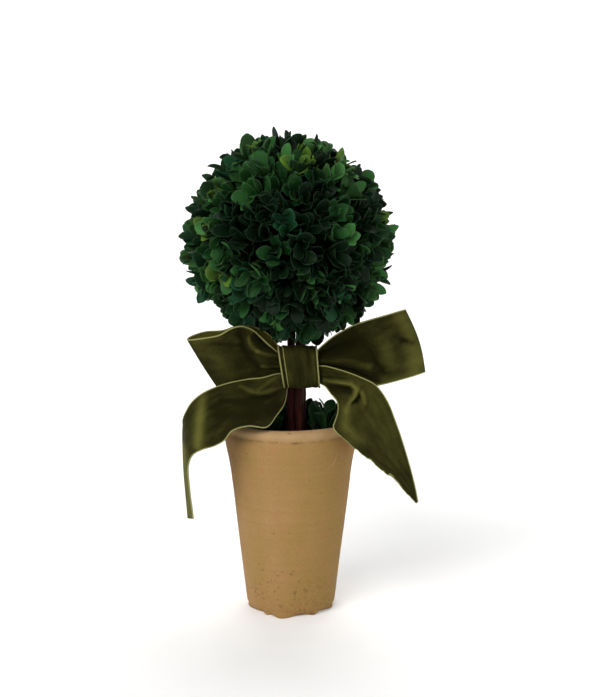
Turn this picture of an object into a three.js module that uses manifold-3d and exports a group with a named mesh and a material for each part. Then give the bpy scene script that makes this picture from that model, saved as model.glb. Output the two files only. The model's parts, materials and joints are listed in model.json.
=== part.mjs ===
// A preserved box topiary: a clipped ball of leaves on three bare stems, set in a clay pot, with a velvet
// bow tied under the ball. Millimetres, +Z up. The origin is the centre of the pot's flat underside, and the
// bow faces -Y.
//
// Every piece is its own closed mesh. Round pieces are lathed, leaf masses are uneven spheres, and the
// ribbon's loops and tails are lofted between two edge curves.

import * as THREE from "three";
import { mergeVertices } from "three/addons/utils/BufferGeometryUtils.js";
import Module from "manifold-3d";

const wasm = await Module();
wasm.setup();

// ---------------------------------------------------------------- driving dimensions

const GAP = 0.4; // left between pieces that touch
const ROUND_STEPS = 48; // facets round the pot

const POT_HEIGHT = 150;
const POT_FOOT_RADIUS = 34.6; // of the wall's straight line, carried down to the ground
const POT_TAPER = 0.118; // radius gained for each millimetre of height
const POT_LIP_RADIUS = 52.2;
const POT_MOUTH_RADIUS = 44.5;
const POT_WALL = 6;
const POT_FLOOR = 9;
const FOOT_FLAT_RADIUS = 29; // what touches the ground between the lumps of the foot
const FOOT_LUMP = 4.6; // how far a lump carries that edge outwards
const FOOT_LUMP_ANGLES = [-105, 20, 112, 196]; // degrees round the pot, from +X
const FOOT_LUMP_SPREAD = 20; // degrees

const FILL_TOP = 138;
const STEM_FOOT = 60; // how low the stems reach inside the fill
const STEM_TOP = 232; // how high they reach inside the ball
const STEM_SIDES = 14;
const STEMS = [
  // name, foot and top places (x, y), foot and top radius
  { name: "stem_left", foot: [-0.4, -2], top: [0.4, -1], radius: [3.0, 2.6] },
  { name: "stem_front", foot: [6.6, -3.6], top: [7.0, -3.4], radius: [3.5, 3.1] },
  { name: "stem_back", foot: [9.0, 4.4], top: [8.2, 4.2], radius: [3.4, 3.0] },
];

const BALL_CENTRE = new THREE.Vector3(-1, 0, 292.5);
const BALL_RADIUS = 79.5;
const BALL_RELIEF = 4; // how far a spray of leaves stands out of the gaps round it
const BALL_SPRAYS = 110;

const RIBBON_THICKNESS = 2;
const RIBBON_COLUMNS = 6; // facets across the ribbon
const ROWS_PER_STATION = 3; // facets along the ribbon between two stations
const KNOT = { left: -4.8, right: 21.8, bottom: 177.5, top: 210, front: -25, back: -12 };
const BAND = { centre: [5, 0.5], inner: 11, thickness: 3.2, bottom: 184, top: 204 };

// ---------------------------------------------------------------- materials

const finish = (colour, roughness) =>
  new THREE.MeshStandardMaterial({ color: colour, roughness, metalness: 0 });
const CLAY = finish(0xa8875a, 0.9);
const FILL = finish(0x1c1a12, 1);
const BARK = finish(0x3a1a14, 0.7);
const LEAF = finish(0x12351c, 0.6);
const VELVET = finish(0x34371a, 0.9);

// ---------------------------------------------------------------- solids and booleans

// A closed geometry as a manifold solid, with its shared vertices merged.
function solidOf(geometry) {
  const bare = new THREE.BufferGeometry();
  bare.setAttribute("position", geometry.getAttribute("position").clone());
  if (geometry.index) bare.setIndex(geometry.index.clone());
  const merged = mergeVertices(bare, 1e-3);
  return new wasm.Manifold(
    new wasm.Mesh({
      numProp: 3,
      vertProperties: new Float32Array(merged.attributes.position.array),
      triVerts: new Uint32Array(merged.index.array),
    }),
  );
}

// A manifold solid back as a geometry.
function geometryOf(solid) {
  const mesh = solid.getMesh();
  const points = new Float32Array(mesh.numVert * 3);
  for (let i = 0; i < mesh.numVert; i++)
    points.set(mesh.vertProperties.subarray(i * mesh.numProp, i * mesh.numProp + 3), i * 3);
  const geometry = new THREE.BufferGeometry();
  geometry.setAttribute("position", new THREE.BufferAttribute(points, 3));
  geometry.setIndex(new THREE.BufferAttribute(new Uint32Array(mesh.triVerts), 1));
  return geometry;
}

function geometryFrom(points, triangles) {
  const geometry = new THREE.BufferGeometry().setFromPoints(points);
  geometry.setIndex(triangles);
  return geometry;
}

// A closed solid between a front grid of points and a back grid of the same size.
function slab(front, back) {
  const rows = front.length;
  const columns = front[0].length;
  const points = [...front.flat(), ...back.flat()];
  const at = (side, row, column) => side * rows * columns + row * columns + column;
  const triangles = [];
  const quad = (a, b, c, d) => triangles.push(a, b, c, a, c, d);
  for (let r = 0; r + 1 < rows; r++)
    for (let c = 0; c + 1 < columns; c++) {
      quad(at(0, r, c), at(0, r, c + 1), at(0, r + 1, c + 1), at(0, r + 1, c));
      quad(at(1, r, c), at(1, r + 1, c), at(1, r + 1, c + 1), at(1, r, c + 1));
    }
  for (let r = 0; r + 1 < rows; r++) {
    const end = columns - 1;
    quad(at(0, r, 0), at(0, r + 1, 0), at(1, r + 1, 0), at(1, r, 0));
    quad(at(0, r + 1, end), at(0, r, end), at(1, r, end), at(1, r + 1, end));
  }
  for (let c = 0; c + 1 < columns; c++) {
    const end = rows - 1;
    quad(at(0, 0, c + 1), at(0, 0, c), at(1, 0, c), at(1, 0, c + 1));
    quad(at(0, end, c), at(0, end, c + 1), at(1, end, c + 1), at(1, end, c));
  }
  return faceOut(geometryFrom(points, triangles));
}

// Turns every triangle round if the closed surface encloses a negative volume.
function faceOut(geometry) {
  const p = geometry.getAttribute("position");
  const index = geometry.index.array;
  const corner = (i) => new THREE.Vector3().fromBufferAttribute(p, index[i]);
  let volume = 0;
  for (let i = 0; i < index.length; i += 3)
    volume += corner(i).dot(corner(i + 1).cross(corner(i + 2)));
  if (volume < 0)
    for (let i = 0; i < index.length; i += 3) [index[i + 1], index[i + 2]] = [index[i + 2], index[i + 1]];
  return geometry;
}

// ---------------------------------------------------------------- pot

const wallRadius = (z) => POT_FOOT_RADIUS + POT_TAPER * z;

function lathed(profile) {
  const points = profile.map(([radius, z]) => new THREE.Vector2(radius, z));
  return new THREE.LatheGeometry(points, ROUND_STEPS).rotateX(Math.PI / 2);
}

// From 0 to 1: how much of a foot lump stands at this angle, in degrees.
function footLump(angle) {
  return FOOT_LUMP_ANGLES.reduce((most, centre) => {
    const off = ((angle - centre + 540) % 360) - 180;
    return Math.max(most, Math.exp(-((off / FOOT_LUMP_SPREAD) ** 2)));
  }, 0);
}

function potGeometry() {
  const lipFoot = POT_HEIGHT - 30;
  const geometry = lathed([
    [0, 0],
    [FOOT_FLAT_RADIUS, 0],
    [wallRadius(4.5), 4.5],
    [wallRadius(60), 60],
    [wallRadius(lipFoot), lipFoot],
    [POT_LIP_RADIUS - 1.8, POT_HEIGHT - 23],
    [POT_LIP_RADIUS - 0.4, POT_HEIGHT - 17],
    [POT_LIP_RADIUS, POT_HEIGHT - 12],
    [POT_LIP_RADIUS - 1.2, POT_HEIGHT - 7.5],
    [POT_LIP_RADIUS - 3.2, POT_HEIGHT - 2.5],
    [POT_LIP_RADIUS - 5.4, POT_HEIGHT],
    [POT_MOUTH_RADIUS, POT_HEIGHT - 1],
    [POT_MOUTH_RADIUS - 0.8, POT_HEIGHT - 5],
    [wallRadius(lipFoot) - POT_WALL, lipFoot],
    [wallRadius(POT_FLOOR) - POT_WALL, POT_FLOOR],
    [0, POT_FLOOR],
  ]);
  const p = geometry.getAttribute("position");
  for (let i = 0; i < p.count; i++) {
    const radius = Math.hypot(p.getX(i), p.getY(i));
    if (p.getZ(i) > 0.01 || radius < 1) continue;
    const angle = THREE.MathUtils.radToDeg(Math.atan2(p.getY(i), p.getX(i)));
    const grown = (radius + FOOT_LUMP * footLump(angle)) / radius;
    p.setXY(i, p.getX(i) * grown, p.getY(i) * grown);
  }
  return geometry;
}

function fillSolid() {
  const bottom = POT_FLOOR + GAP;
  const inner = (z) => wallRadius(z) - POT_WALL - GAP;
  const lipFoot = POT_HEIGHT - 30;
  const fill = lathed([
    [0, bottom],
    [inner(bottom), bottom],
    [inner(lipFoot), lipFoot],
    [inner(lipFoot) + 0.4, FILL_TOP],
    [0, FILL_TOP],
  ]);
  return STEMS.reduce((left, stem) => left.subtract(stemSolid(stem, GAP)), solidOf(fill));
}

// ---------------------------------------------------------------- stems

// A tapering stem between its foot and top places, grown by a clearance all round.
function stemSolid(stem, clearance = 0) {
  const foot = new THREE.Vector3(...stem.foot, STEM_FOOT - clearance);
  const top = new THREE.Vector3(...stem.top, STEM_TOP + clearance);
  const along = top.clone().sub(foot);
  const [footRadius, topRadius] = stem.radius.map((radius) => radius + clearance);
  const geometry = new THREE.CylinderGeometry(topRadius, footRadius, along.length(), STEM_SIDES);
  geometry.applyQuaternion(
    new THREE.Quaternion().setFromUnitVectors(new THREE.Vector3(0, 1, 0), along.clone().normalize()),
  );
  geometry.translate(...foot.add(top).multiplyScalar(0.5).toArray());
  return solidOf(geometry);
}

// ---------------------------------------------------------------- leaf masses

// Evenly spread directions, one for each spray of leaves.
function sprayDirections(count) {
  const golden = Math.PI * (3 - Math.sqrt(5));
  return Array.from({ length: count }, (_, i) => {
    const z = 1 - (2 * i + 1) / count;
    const across = Math.sqrt(1 - z * z);
    return new THREE.Vector3(across * Math.cos(golden * i), across * Math.sin(golden * i), z);
  });
}

// A sphere that bulges at each spray and sinks in the gaps between them.
function leafMass({ centre, radii, relief, sprays, detail }) {
  const directions = sprayDirections(sprays);
  const halfGap = Math.sqrt(4 / sprays);
  const geometry = new THREE.IcosahedronGeometry(1, detail);
  const p = geometry.getAttribute("position");
  for (let i = 0; i < p.count; i++) {
    const d = new THREE.Vector3().fromBufferAttribute(p, i).normalize();
    const nearest = directions.reduce((least, s) => Math.min(least, d.angleTo(s)), Math.PI);
    const bulge = Math.max(0, 1 - (nearest / halfGap) ** 2);
    const place = d.clone().multiply(radii).addScaledVector(d, relief * bulge).add(centre);
    p.setXYZ(i, place.x, place.y, place.z);
  }
  return solidOf(geometry);
}

function leafBall() {
  const ball = leafMass({
    centre: BALL_CENTRE,
    radii: new THREE.Vector3(BALL_RADIUS, BALL_RADIUS, BALL_RADIUS - 1),
    relief: BALL_RELIEF,
    sprays: BALL_SPRAYS,
    detail: 11,
  });
  const stems = STEMS.map((stem) => stemSolid(stem, GAP));
  const loops = LOOPS.map((loop) => loopSolid(loop, 1.2));
  return [...stems, ...loops].reduce((left, cutter) => left.subtract(cutter), ball);
}

// The low clumps of leaves in the pot's mouth, each flat where it lies on the fill.
const CLUMPS = [
  { name: "foot_leaves_right", centre: [25.5, 5, 146], radii: [11, 17, 15] },
  { name: "foot_leaves_left", centre: [-22, 3, 145], radii: [13, 18, 14] },
  { name: "foot_leaves_back", centre: [2, 27, 145], radii: [17, 8.5, 13] },
];

function clumpSolid({ centre, radii }) {
  const clump = leafMass({
    centre: new THREE.Vector3(...centre),
    radii: new THREE.Vector3(...radii),
    relief: 2.5,
    sprays: 16,
    detail: 4,
  });
  const above = new THREE.BoxGeometry(120, 120, 60).translate(0, 0, FILL_TOP + GAP + 30);
  return clump.intersect(solidOf(above));
}

// ---------------------------------------------------------------- bow

// Points along a smooth curve through the stations, ROWS_PER_STATION to a station.
function alongEdge(stations) {
  const curve = new THREE.CatmullRomCurve3(stations.map((place) => new THREE.Vector3(...place)));
  const rows = (stations.length - 1) * ROWS_PER_STATION;
  return Array.from({ length: rows + 1 }, (_, i) => curve.getPoint(i / rows));
}

// A grid of points between two edges. The middle of each row stands out of the straight line by belly,
// towards -Y.
function sheetBetween(upper, lower, belly) {
  const [a, b] = [alongEdge(upper), alongEdge(lower)];
  return a.map((top, row) => {
    const swell = belly * Math.sin((Math.PI * row) / (a.length - 1));
    return Array.from({ length: RIBBON_COLUMNS + 1 }, (_, column) => {
      const u = column / RIBBON_COLUMNS;
      const place = top.clone().lerp(b[row], u);
      place.y -= swell * Math.sin(Math.PI * u);
      return place;
    });
  });
}

// The direction that each point of a grid faces.
function facing(grid) {
  const at = (r, c) =>
    grid[Math.min(Math.max(r, 0), grid.length - 1)][Math.min(Math.max(c, 0), grid[0].length - 1)];
  return grid.map((row, r) =>
    row.map((_, c) => {
      const along = at(r + 1, c).clone().sub(at(r - 1, c));
      const across = at(r, c + 1).clone().sub(at(r, c - 1));
      return across.cross(along).normalize();
    }),
  );
}

const moved = (grid, directions, distance) =>
  grid.map((row, r) => row.map((place, c) => place.clone().addScaledVector(directions[r][c], distance)));

// One stretch of ribbon as a thin slab.
function ribbonSolid({ upper, lower, belly = 0 }) {
  const middle = sheetBetween(upper, lower, belly);
  const directions = facing(middle);
  const half = RIBBON_THICKNESS / 2;
  return solidOf(slab(moved(middle, directions, half), moved(middle, directions, -half)));
}

// A bow loop as the closed space between its front and back layers, grown by a clearance all round.
function loopSolid({ front, back, belly }, clearance = 0) {
  const widen = ({ upper, lower }) => ({
    upper: upper.map(([x, y, z]) => [x, y, z + clearance]),
    lower: lower.map(([x, y, z]) => [x, y, z - clearance]),
  });
  const [f, b] = [widen(front), widen(back)];
  const shift = (grid, distance) =>
    grid.map((row) => row.map((place) => new THREE.Vector3(place.x, place.y + distance, place.z)));
  const half = RIBBON_THICKNESS / 2 + clearance;
  const frontLayer = shift(sheetBetween(f.upper, f.lower, belly), -half);
  const backLayer = shift(sheetBetween(b.upper, b.lower, -belly), half);
  return solidOf(slab(frontLayer, backLayer));
}

// Each layer runs from the knot to the loop's outer fold. The clipped ball rests on the loops' upper edges.
const LOOPS = [
  {
    name: "bow_loop_left",
    belly: 3,
    front: {
      upper: [
        ...[[-6, -18, 207], [-13, -25, 216], [-22, -30, 223]],
        ...[[-39, -33, 222], [-58, -31, 219], [-78, -22, 216]],
      ],
      lower: [
        ...[[-6, -18, 191], [-13, -19, 184], [-20, -20, 179]],
        ...[[-28, -21, 175], [-36, -21, 172], [-45, -18, 170]],
      ],
    },
    back: {
      upper: [
        ...[[-6, -14, 207], [-12, -9, 214], [-22, -6, 219]],
        ...[[-40, -5, 220], [-60, -8, 220], [-78, -22, 216]],
      ],
      lower: [
        ...[[-6, -14, 191], [-12, -10, 184], [-19, -8, 179]],
        ...[[-27, -8, 175], [-36, -10, 172], [-45, -18, 170]],
      ],
    },
  },
  {
    name: "bow_loop_right",
    belly: 3,
    front: {
      upper: [
        ...[[23, -18, 208], [31, -23, 217], [42, -27, 225]],
        ...[[55, -29, 230], [71, -29, 235], [88, -20, 239]],
      ],
      lower: [
        ...[[23, -18, 192], [33, -19, 187], [46, -20, 184]],
        ...[[63, -22, 183], [82, -24, 187], [103, -19, 191]],
      ],
    },
    back: {
      upper: [
        ...[[23, -14, 208], [31, -8, 216], [43, -5, 223]],
        ...[[57, -4, 229], [73, -7, 235], [88, -20, 239]],
      ],
      lower: [
        ...[[23, -14, 192], [33, -9, 187], [46, -6, 184]],
        ...[[63, -5, 183], [82, -8, 187], [103, -19, 191]],
      ],
    },
  },
];

// The left tail runs out over the rim, turns at its far end and hangs down, and is split where it turns.
const TAIL_LEFT_TURN = { upper: [-79, -40, 164], lower: [-76, -18, 128] };
const TAILS = [
  {
    name: "bow_tail_left",
    upper: [
      ...[[-6, -20, 188], [-15, -28, 188.5], [-30, -35, 188], [-45, -39, 186]],
      ...[[-60, -42, 182], [-72, -43, 174], TAIL_LEFT_TURN.upper],
    ],
    lower: [
      ...[[-6, -20, 178.5], [-9, -24, 165], [-17, -34, 157], [-33, -47, 153]],
      ...[[-46, -43, 145], [-62, -32, 136], TAIL_LEFT_TURN.lower],
    ],
    belly: 2,
  },
  {
    name: "bow_tail_left_end",
    upper: [TAIL_LEFT_TURN.upper, [-82, -36, 148], [-82.5, -31, 128], [-81, -28, 104], [-77.5, -26, 77]],
    lower: [TAIL_LEFT_TURN.lower, [-79, -3, 120], [-80, 8, 111], [-78.5, 11, 104], [-76.5, 8, 99]],
    gap: 2.2,
  },
  {
    name: "bow_tail_right",
    upper: [
      ...[[23, -20, 190.5], [34, -28, 192], [45, -34, 192], [56, -37, 189], [66, -39, 183], [73, -40, 172]],
      ...[[79, -41, 157], [86, -42, 137], [92, -42, 116], [97.5, -41, 94]],
    ],
    lower: [
      ...[[23, -20, 179], [29, -27, 174], [35, -36, 171], [37, -44, 168], [36, -49, 163], [35, -50, 157]],
      ...[[36, -50, 151], [51, -50, 137], [71, -47, 119], [95, -41, 94]],
    ],
    belly: 2,
  },
];

// The tail's end starts a small gap past the turn, measured along the ribbon.
function startAfter(stations, gap) {
  const [first, second] = stations.map((place) => new THREE.Vector3(...place));
  const start = first.clone().addScaledVector(second.sub(first).normalize(), gap);
  return [start.toArray(), ...stations.slice(1)];
}

function tailSolid({ upper, lower, belly = 0, gap = 0 }) {
  const from = (stations) => (gap ? startAfter(stations, gap) : stations);
  return ribbonSolid({ upper: from(upper), lower: from(lower), belly });
}

// The knot is a soft barrel of ribbon, round from top to bottom and flat at its two selvedges.
function knotGeometry() {
  const { left, right, bottom, top, front, back } = KNOT;
  const depth = back - front;
  const corner = depth * 0.45;
  const outline = new THREE.Shape();
  outline.moveTo(front + corner, bottom);
  outline.lineTo(back - corner, bottom);
  outline.absarc(back - corner, bottom + corner, corner, -Math.PI / 2, 0);
  outline.lineTo(back, top - corner);
  outline.absarc(back - corner, top - corner, corner, 0, Math.PI / 2);
  outline.lineTo(front + corner, top);
  outline.absarc(front + corner, top - corner, corner, Math.PI / 2, Math.PI);
  outline.lineTo(front, bottom + corner);
  outline.absarc(front + corner, bottom + corner, corner, Math.PI, 1.5 * Math.PI);
  const geometry = new THREE.ExtrudeGeometry(outline, {
    depth: right - left,
    bevelEnabled: false,
    curveSegments: 6,
  });
  // The outline is drawn in Y and Z, and the extrusion runs along X.
  const turn = new THREE.Matrix4().makeBasis(
    new THREE.Vector3(0, 1, 0),
    new THREE.Vector3(0, 0, 1),
    new THREE.Vector3(1, 0, 0),
  );
  return geometry.applyMatrix4(turn).translate(left, 0, 0);
}

// The gathered ribbon that goes round the back of the stems, from one side of the knot to the other.
function bandGeometry() {
  const { centre, inner, thickness, bottom, top } = BAND;
  const [x, y] = centre;
  const [from, to] = [-42, 222].map(THREE.MathUtils.degToRad);
  const outline = new THREE.Shape();
  outline.absarc(x, y, inner + thickness, from, to, false);
  outline.absarc(x, y, inner, to, from, true);
  outline.closePath();
  const geometry = new THREE.ExtrudeGeometry(outline, {
    depth: top - bottom,
    bevelEnabled: false,
    curveSegments: 24,
  });
  return geometry.translate(0, 0, bottom);
}

// ---------------------------------------------------------------- the object

const topiary = new THREE.Group();

function place(name, geometry, material) {
  const mesh = new THREE.Mesh(geometry, material);
  mesh.name = name;
  topiary.add(mesh);
}

place("pot", potGeometry(), CLAY);
place("pot_fill", geometryOf(fillSolid()), FILL);
for (const stem of STEMS) place(stem.name, geometryOf(stemSolid(stem)), BARK);
place("leaf_ball", geometryOf(leafBall()), LEAF);
for (const clump of CLUMPS) place(clump.name, geometryOf(clumpSolid(clump)), LEAF);
place("bow_knot", knotGeometry(), VELVET);
place("bow_band", bandGeometry(), VELVET);
for (const loop of LOOPS) place(loop.name, geometryOf(loopSolid(loop)), VELVET);
for (const tail of TAILS) place(tail.name, geometryOf(tailSolid(tail)), VELVET);

export default topiary;
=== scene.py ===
# %% [markdown]
# # A box topiary ball, tied with a velvet bow
#
# The real thing is a ball of preserved box leaves on three bare stems. The stems are set in a clay pot,
# and a velvet ribbon is tied in a bow just under the ball. This lesson builds its looks on top of a frame
# that already has every size. We go from the ground up: pot, fill, stems, bow, and last of all the
# leaves, which have to find their way round everything else.

import json
import math
import random

import bmesh
import bpy
import numpy as np
from mathutils import Matrix, Vector, noise

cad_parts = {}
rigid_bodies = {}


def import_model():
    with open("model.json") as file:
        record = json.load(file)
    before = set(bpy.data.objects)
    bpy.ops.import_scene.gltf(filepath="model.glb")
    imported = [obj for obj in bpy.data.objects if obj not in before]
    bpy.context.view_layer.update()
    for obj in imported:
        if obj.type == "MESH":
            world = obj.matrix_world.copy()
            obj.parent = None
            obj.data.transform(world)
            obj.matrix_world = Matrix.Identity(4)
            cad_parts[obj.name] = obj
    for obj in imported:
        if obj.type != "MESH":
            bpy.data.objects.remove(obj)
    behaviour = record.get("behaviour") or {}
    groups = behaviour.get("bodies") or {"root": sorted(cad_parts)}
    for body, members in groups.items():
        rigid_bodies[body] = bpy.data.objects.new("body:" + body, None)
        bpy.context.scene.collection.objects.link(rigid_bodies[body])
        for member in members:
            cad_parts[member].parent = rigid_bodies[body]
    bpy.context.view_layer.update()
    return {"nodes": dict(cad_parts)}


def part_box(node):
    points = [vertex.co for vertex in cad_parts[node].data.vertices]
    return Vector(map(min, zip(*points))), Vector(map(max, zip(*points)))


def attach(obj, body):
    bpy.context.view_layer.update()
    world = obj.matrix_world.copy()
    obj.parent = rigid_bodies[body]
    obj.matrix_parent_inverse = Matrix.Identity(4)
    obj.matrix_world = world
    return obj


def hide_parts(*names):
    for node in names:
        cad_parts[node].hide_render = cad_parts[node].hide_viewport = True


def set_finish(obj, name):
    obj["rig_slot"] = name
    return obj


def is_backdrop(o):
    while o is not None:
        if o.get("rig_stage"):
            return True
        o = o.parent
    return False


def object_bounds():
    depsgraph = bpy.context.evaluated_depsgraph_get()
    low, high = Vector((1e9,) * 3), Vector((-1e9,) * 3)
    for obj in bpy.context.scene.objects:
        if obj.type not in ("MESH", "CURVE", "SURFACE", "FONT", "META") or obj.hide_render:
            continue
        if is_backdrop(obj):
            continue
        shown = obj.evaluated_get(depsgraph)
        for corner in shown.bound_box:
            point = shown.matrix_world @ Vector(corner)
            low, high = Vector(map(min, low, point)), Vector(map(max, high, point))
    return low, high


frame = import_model()
MM = 0.001

# %% [markdown]
# ## Small helpers
#
# A finished piece is a plain mesh whose object sits at the origin. Every piece rides on the one body,
# takes the place of some of the frame's nodes, and names the finish that it has. One helper does all of
# that, so that no step can forget a part of it.


# %% Helpers for pieces
def mm(points):
    """Places written in millimetres, as an array in metres."""
    return np.array(points, float) * MM


def mesh_from(name, points, faces, uv=None):
    """A smooth-shaded mesh, with a map of one (u, v) for each point if uv is given."""
    mesh = bpy.data.meshes.new(name)
    mesh.from_pydata([tuple(p) for p in points], [], [tuple(f) for f in faces])
    if uv is not None:
        layer = mesh.uv_layers.new(name="Ribbon")
        for loop in mesh.loops:
            layer.data[loop.index].uv = uv[loop.vertex_index]
    mesh.shade_smooth()
    mesh.update()
    return mesh


def add_object(name, mesh, *materials):
    obj = bpy.data.objects.new(name, mesh)
    bpy.context.scene.collection.objects.link(obj)
    for material in materials:
        mesh.materials.append(material)
    return obj


def finish_piece(obj, slot, *nodes):
    """Tells the frame what a piece rides on, which nodes it stands for and whose finish it has."""
    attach(obj, "root")
    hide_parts(*nodes)
    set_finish(obj, slot)
    print(obj.name, len(obj.data.polygons), "faces")
    return obj


def outward(mesh):
    """Merges doubles and turns every face of a closed mesh outwards."""
    work = bmesh.new()
    work.from_mesh(mesh)
    bmesh.ops.remove_doubles(work, verts=work.verts, dist=0.01 * MM)
    bmesh.ops.recalc_face_normals(work, faces=work.faces)
    work.to_mesh(mesh)
    work.free()
    mesh.shade_smooth()


def grid_faces(rows, columns, wrap=False):
    """The four-sided faces of a grid of points. With wrap, the last column joins the first."""
    faces = []
    for r in range(rows - 1):
        for c in range(columns if wrap else columns - 1):
            left, right = c, (c + 1) % columns
            above, below = r * columns, (r + 1) * columns
            faces.append((above + left, above + right, below + right, below + left))
    return faces


def end_faces(rows, sides):
    """The two many-sided faces that close the ends of a wrapped grid."""
    return [tuple(range(sides)), tuple((rows - 1) * sides + k for k in range(sides))]


# %% [markdown]
# ## Helpers for materials
#
# Every finish is a Principled shader fed by a few procedural nodes. A value that is the same all over is
# set on the shader itself. Patterns read the object's own coordinates, in metres, so a scale of 1000
# gives features about a millimetre across. Image textures could do the same job, but nodes stay sharp at
# any distance and need no file. With the helpers below a finish reads as a short list of layers.


# %% Helpers for materials
def new_material(name, **constants):
    """A material, its tree and its shader. The constants are set on the shader's own sockets."""
    material = bpy.data.materials.new(name)
    material.use_nodes = True
    shader = material.node_tree.nodes["Principled BSDF"]
    for socket, value in constants.items():
        shader.inputs[socket.replace("_", " ")].default_value = value
    return material, material.node_tree, shader


def feed(tree, socket, value):
    """Links a socket to another one, or sets it to a plain value."""
    if isinstance(value, bpy.types.NodeSocket):
        tree.links.new(value, socket)
    else:
        socket.default_value = value


def add_node(tree, kind, settings=None, **inputs):
    node = tree.nodes.new(kind)
    for key, value in (settings or {}).items():
        setattr(node, key, value)
    for key, value in inputs.items():
        feed(tree, node.inputs[key.replace("_", " ")], value)
    return node


def noise_of(tree, where, scale, detail=3.0, roughness=0.55):
    size = {"Scale": scale, "Detail": detail, "Roughness": roughness}
    return add_node(tree, "ShaderNodeTexNoise", Vector=where, **size).outputs["Fac"]


def ranged(tree, value, low, high, to_low=0.0, to_high=1.0):
    """Stretches the range from low to high over the range from to_low to to_high, and stops at its ends."""
    ends = {"From_Min": low, "From_Max": high, "To_Min": to_low, "To_Max": to_high}
    return add_node(tree, "ShaderNodeMapRange", Value=value, **ends).outputs["Result"]


def maths(tree, operation, first, second=0.0):
    node = add_node(tree, "ShaderNodeMath", {"operation": operation})
    feed(tree, node.inputs[0], first)
    feed(tree, node.inputs[1], second)
    return node.outputs["Value"]


def times(tree, first, second):
    return maths(tree, "MULTIPLY", first, second)


def mixed(tree, share, first, second):
    """Mixes two colours; each may be a socket or an (r, g, b)."""
    node = add_node(tree, "ShaderNodeMix", {"data_type": "RGBA"})
    for number, value in ((0, share), (6, first), (7, second)):
        feed(tree, node.inputs[number], (*value, 1.0) if isinstance(value, tuple) else value)
    return node.outputs[2]


def stretched(tree, where, scale):
    return add_node(tree, "ShaderNodeMapping", Vector=where, Scale=scale).outputs["Vector"]


def own_place(tree):
    return tree.nodes.new("ShaderNodeTexCoord").outputs["Object"]


def bump(tree, shader, height, distance):
    node = add_node(tree, "ShaderNodeBump", Height=height, Distance=distance, Strength=1.0)
    tree.links.new(node.outputs["Normal"], shader.inputs["Normal"])


def colour(tree, shader, socket):
    tree.links.new(socket, shader.inputs["Base Color"])


# %% [markdown]
# ## Camera, light and floor
#
# The camera looks slightly down at the pot, from about a metre away, as for a catalogue. From close by, a
# short lens would show as much, but it would splay the pot's sides and swell the bow.

# %% Camera
CAMERA_PLACE = (11.5, -1000, 340)
CAMERA_AIM = (11.5, 0, 206.7)
LENS = 66.44
camera = bpy.data.objects.new("camera", bpy.data.cameras.new("camera"))
bpy.context.scene.collection.objects.link(camera)
bpy.context.scene.camera = camera
camera.location = mm(CAMERA_PLACE)
camera.data.lens = LENS
camera.data.clip_start = 0.05
camera.rotation_euler = (Vector(mm(CAMERA_AIM)) - camera.location).to_track_quat("-Z", "Y").to_euler()
print("camera", [round(v, 2) for v in camera.location], "lens", LENS, "mm")

# %% [markdown]
# ### The floor
#
# A flat plane would show a horizon. A roll of studio paper hides it from in front, but not from the
# sides. So the floor is the inside of a very wide, shallow dish: pale ground goes over into pale
# background from whichever side we look. The paper glows very faintly, which stands for the light that a
# white studio throws back into the shadow.

# %% Floor
DISH_FLAT = 1.6  # metres from the middle to where the floor begins to rise
DISH_RISE = 1.6
PAPER_GLOW = 0.13


def dish_mesh():
    rings = [(0.02, 0.0), (0.5, 0.0)]
    for a in np.linspace(0, 1.5, 12):
        rings.append((DISH_FLAT + DISH_RISE * math.sin(a), DISH_RISE * (1 - math.cos(a))))
    sides = 64
    points = []
    for radius, z in rings:
        for k in range(sides):
            turn = k * math.tau / sides
            points.append((radius * math.cos(turn), radius * math.sin(turn), z))
    faces = [tuple(range(sides)), *grid_faces(len(rings), sides, wrap=True)]
    return mesh_from("floor", points, faces)


paper, tree, shader = new_material("studio_paper", Roughness=0.9, Emission_Strength=PAPER_GLOW)
grain = noise_of(tree, own_place(tree), 40.0)
colour(tree, shader, mixed(tree, grain, (0.86, 0.86, 0.86), (0.9, 0.9, 0.9)))
floor = add_object("studio_floor", dish_mesh(), paper)
floor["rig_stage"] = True
print("floor", DISH_FLAT + DISH_RISE, "m from the middle to its edge")

# %% [markdown]
# ### The light
#
# Soft light from big windows could be area lamps, but their strength falls off with distance and they can
# show in the picture. A sun with a wide angle gives the same soft-edged shadow everywhere. The key comes
# over the left shoulder, a weaker, cooler fill from the right, and one from behind draws the edges of the
# leaves.


# %% Lights
def soft_sun(name, place, strength, spread, tint=(1.0, 1.0, 1.0)):
    data = bpy.data.lights.new(name, "SUN")
    data.energy = strength
    data.angle = math.radians(spread)
    data.color = tint
    lamp = bpy.data.objects.new(name, data)
    bpy.context.scene.collection.objects.link(lamp)
    lamp.location = place
    lamp.rotation_euler = (Vector((0, 0, 0.2)) - lamp.location).to_track_quat("-Z", "Y").to_euler()
    print(name, "light", strength)


soft_sun("key", (-0.75, -1.2, 1.2), 2.78, 44, (1.0, 0.985, 0.96))
soft_sun("fill", (1.3, -1.0, 0.7), 0.70, 60, (0.96, 0.98, 1.0))
soft_sun("back", (0.1, 0.9, 1.7), 1.3, 40)
ALL_ROUND = 0.17  # the strength of the even light from the walls
world = bpy.data.worlds.new("studio")
world.use_nodes = True
walls = world.node_tree.nodes["Background"]
walls.inputs["Color"].default_value = (1.0, 1.0, 1.0, 1.0)
walls.inputs["Strength"].default_value = ALL_ROUND
bpy.context.scene.world = world
bpy.context.scene.view_settings.view_transform = "Standard"

# %% [markdown]
# ## The clay pot
#
# The pot is a thrown, unglazed long tom in buff clay: a tall taper, a rolled lip and a foot that was cut
# off the wheel by hand, so its edge is uneven. A thrown pot is a turned profile, so we turn one, and then
# push its points about: slow waves for the potter's hands, and lumps round the foot.

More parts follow.
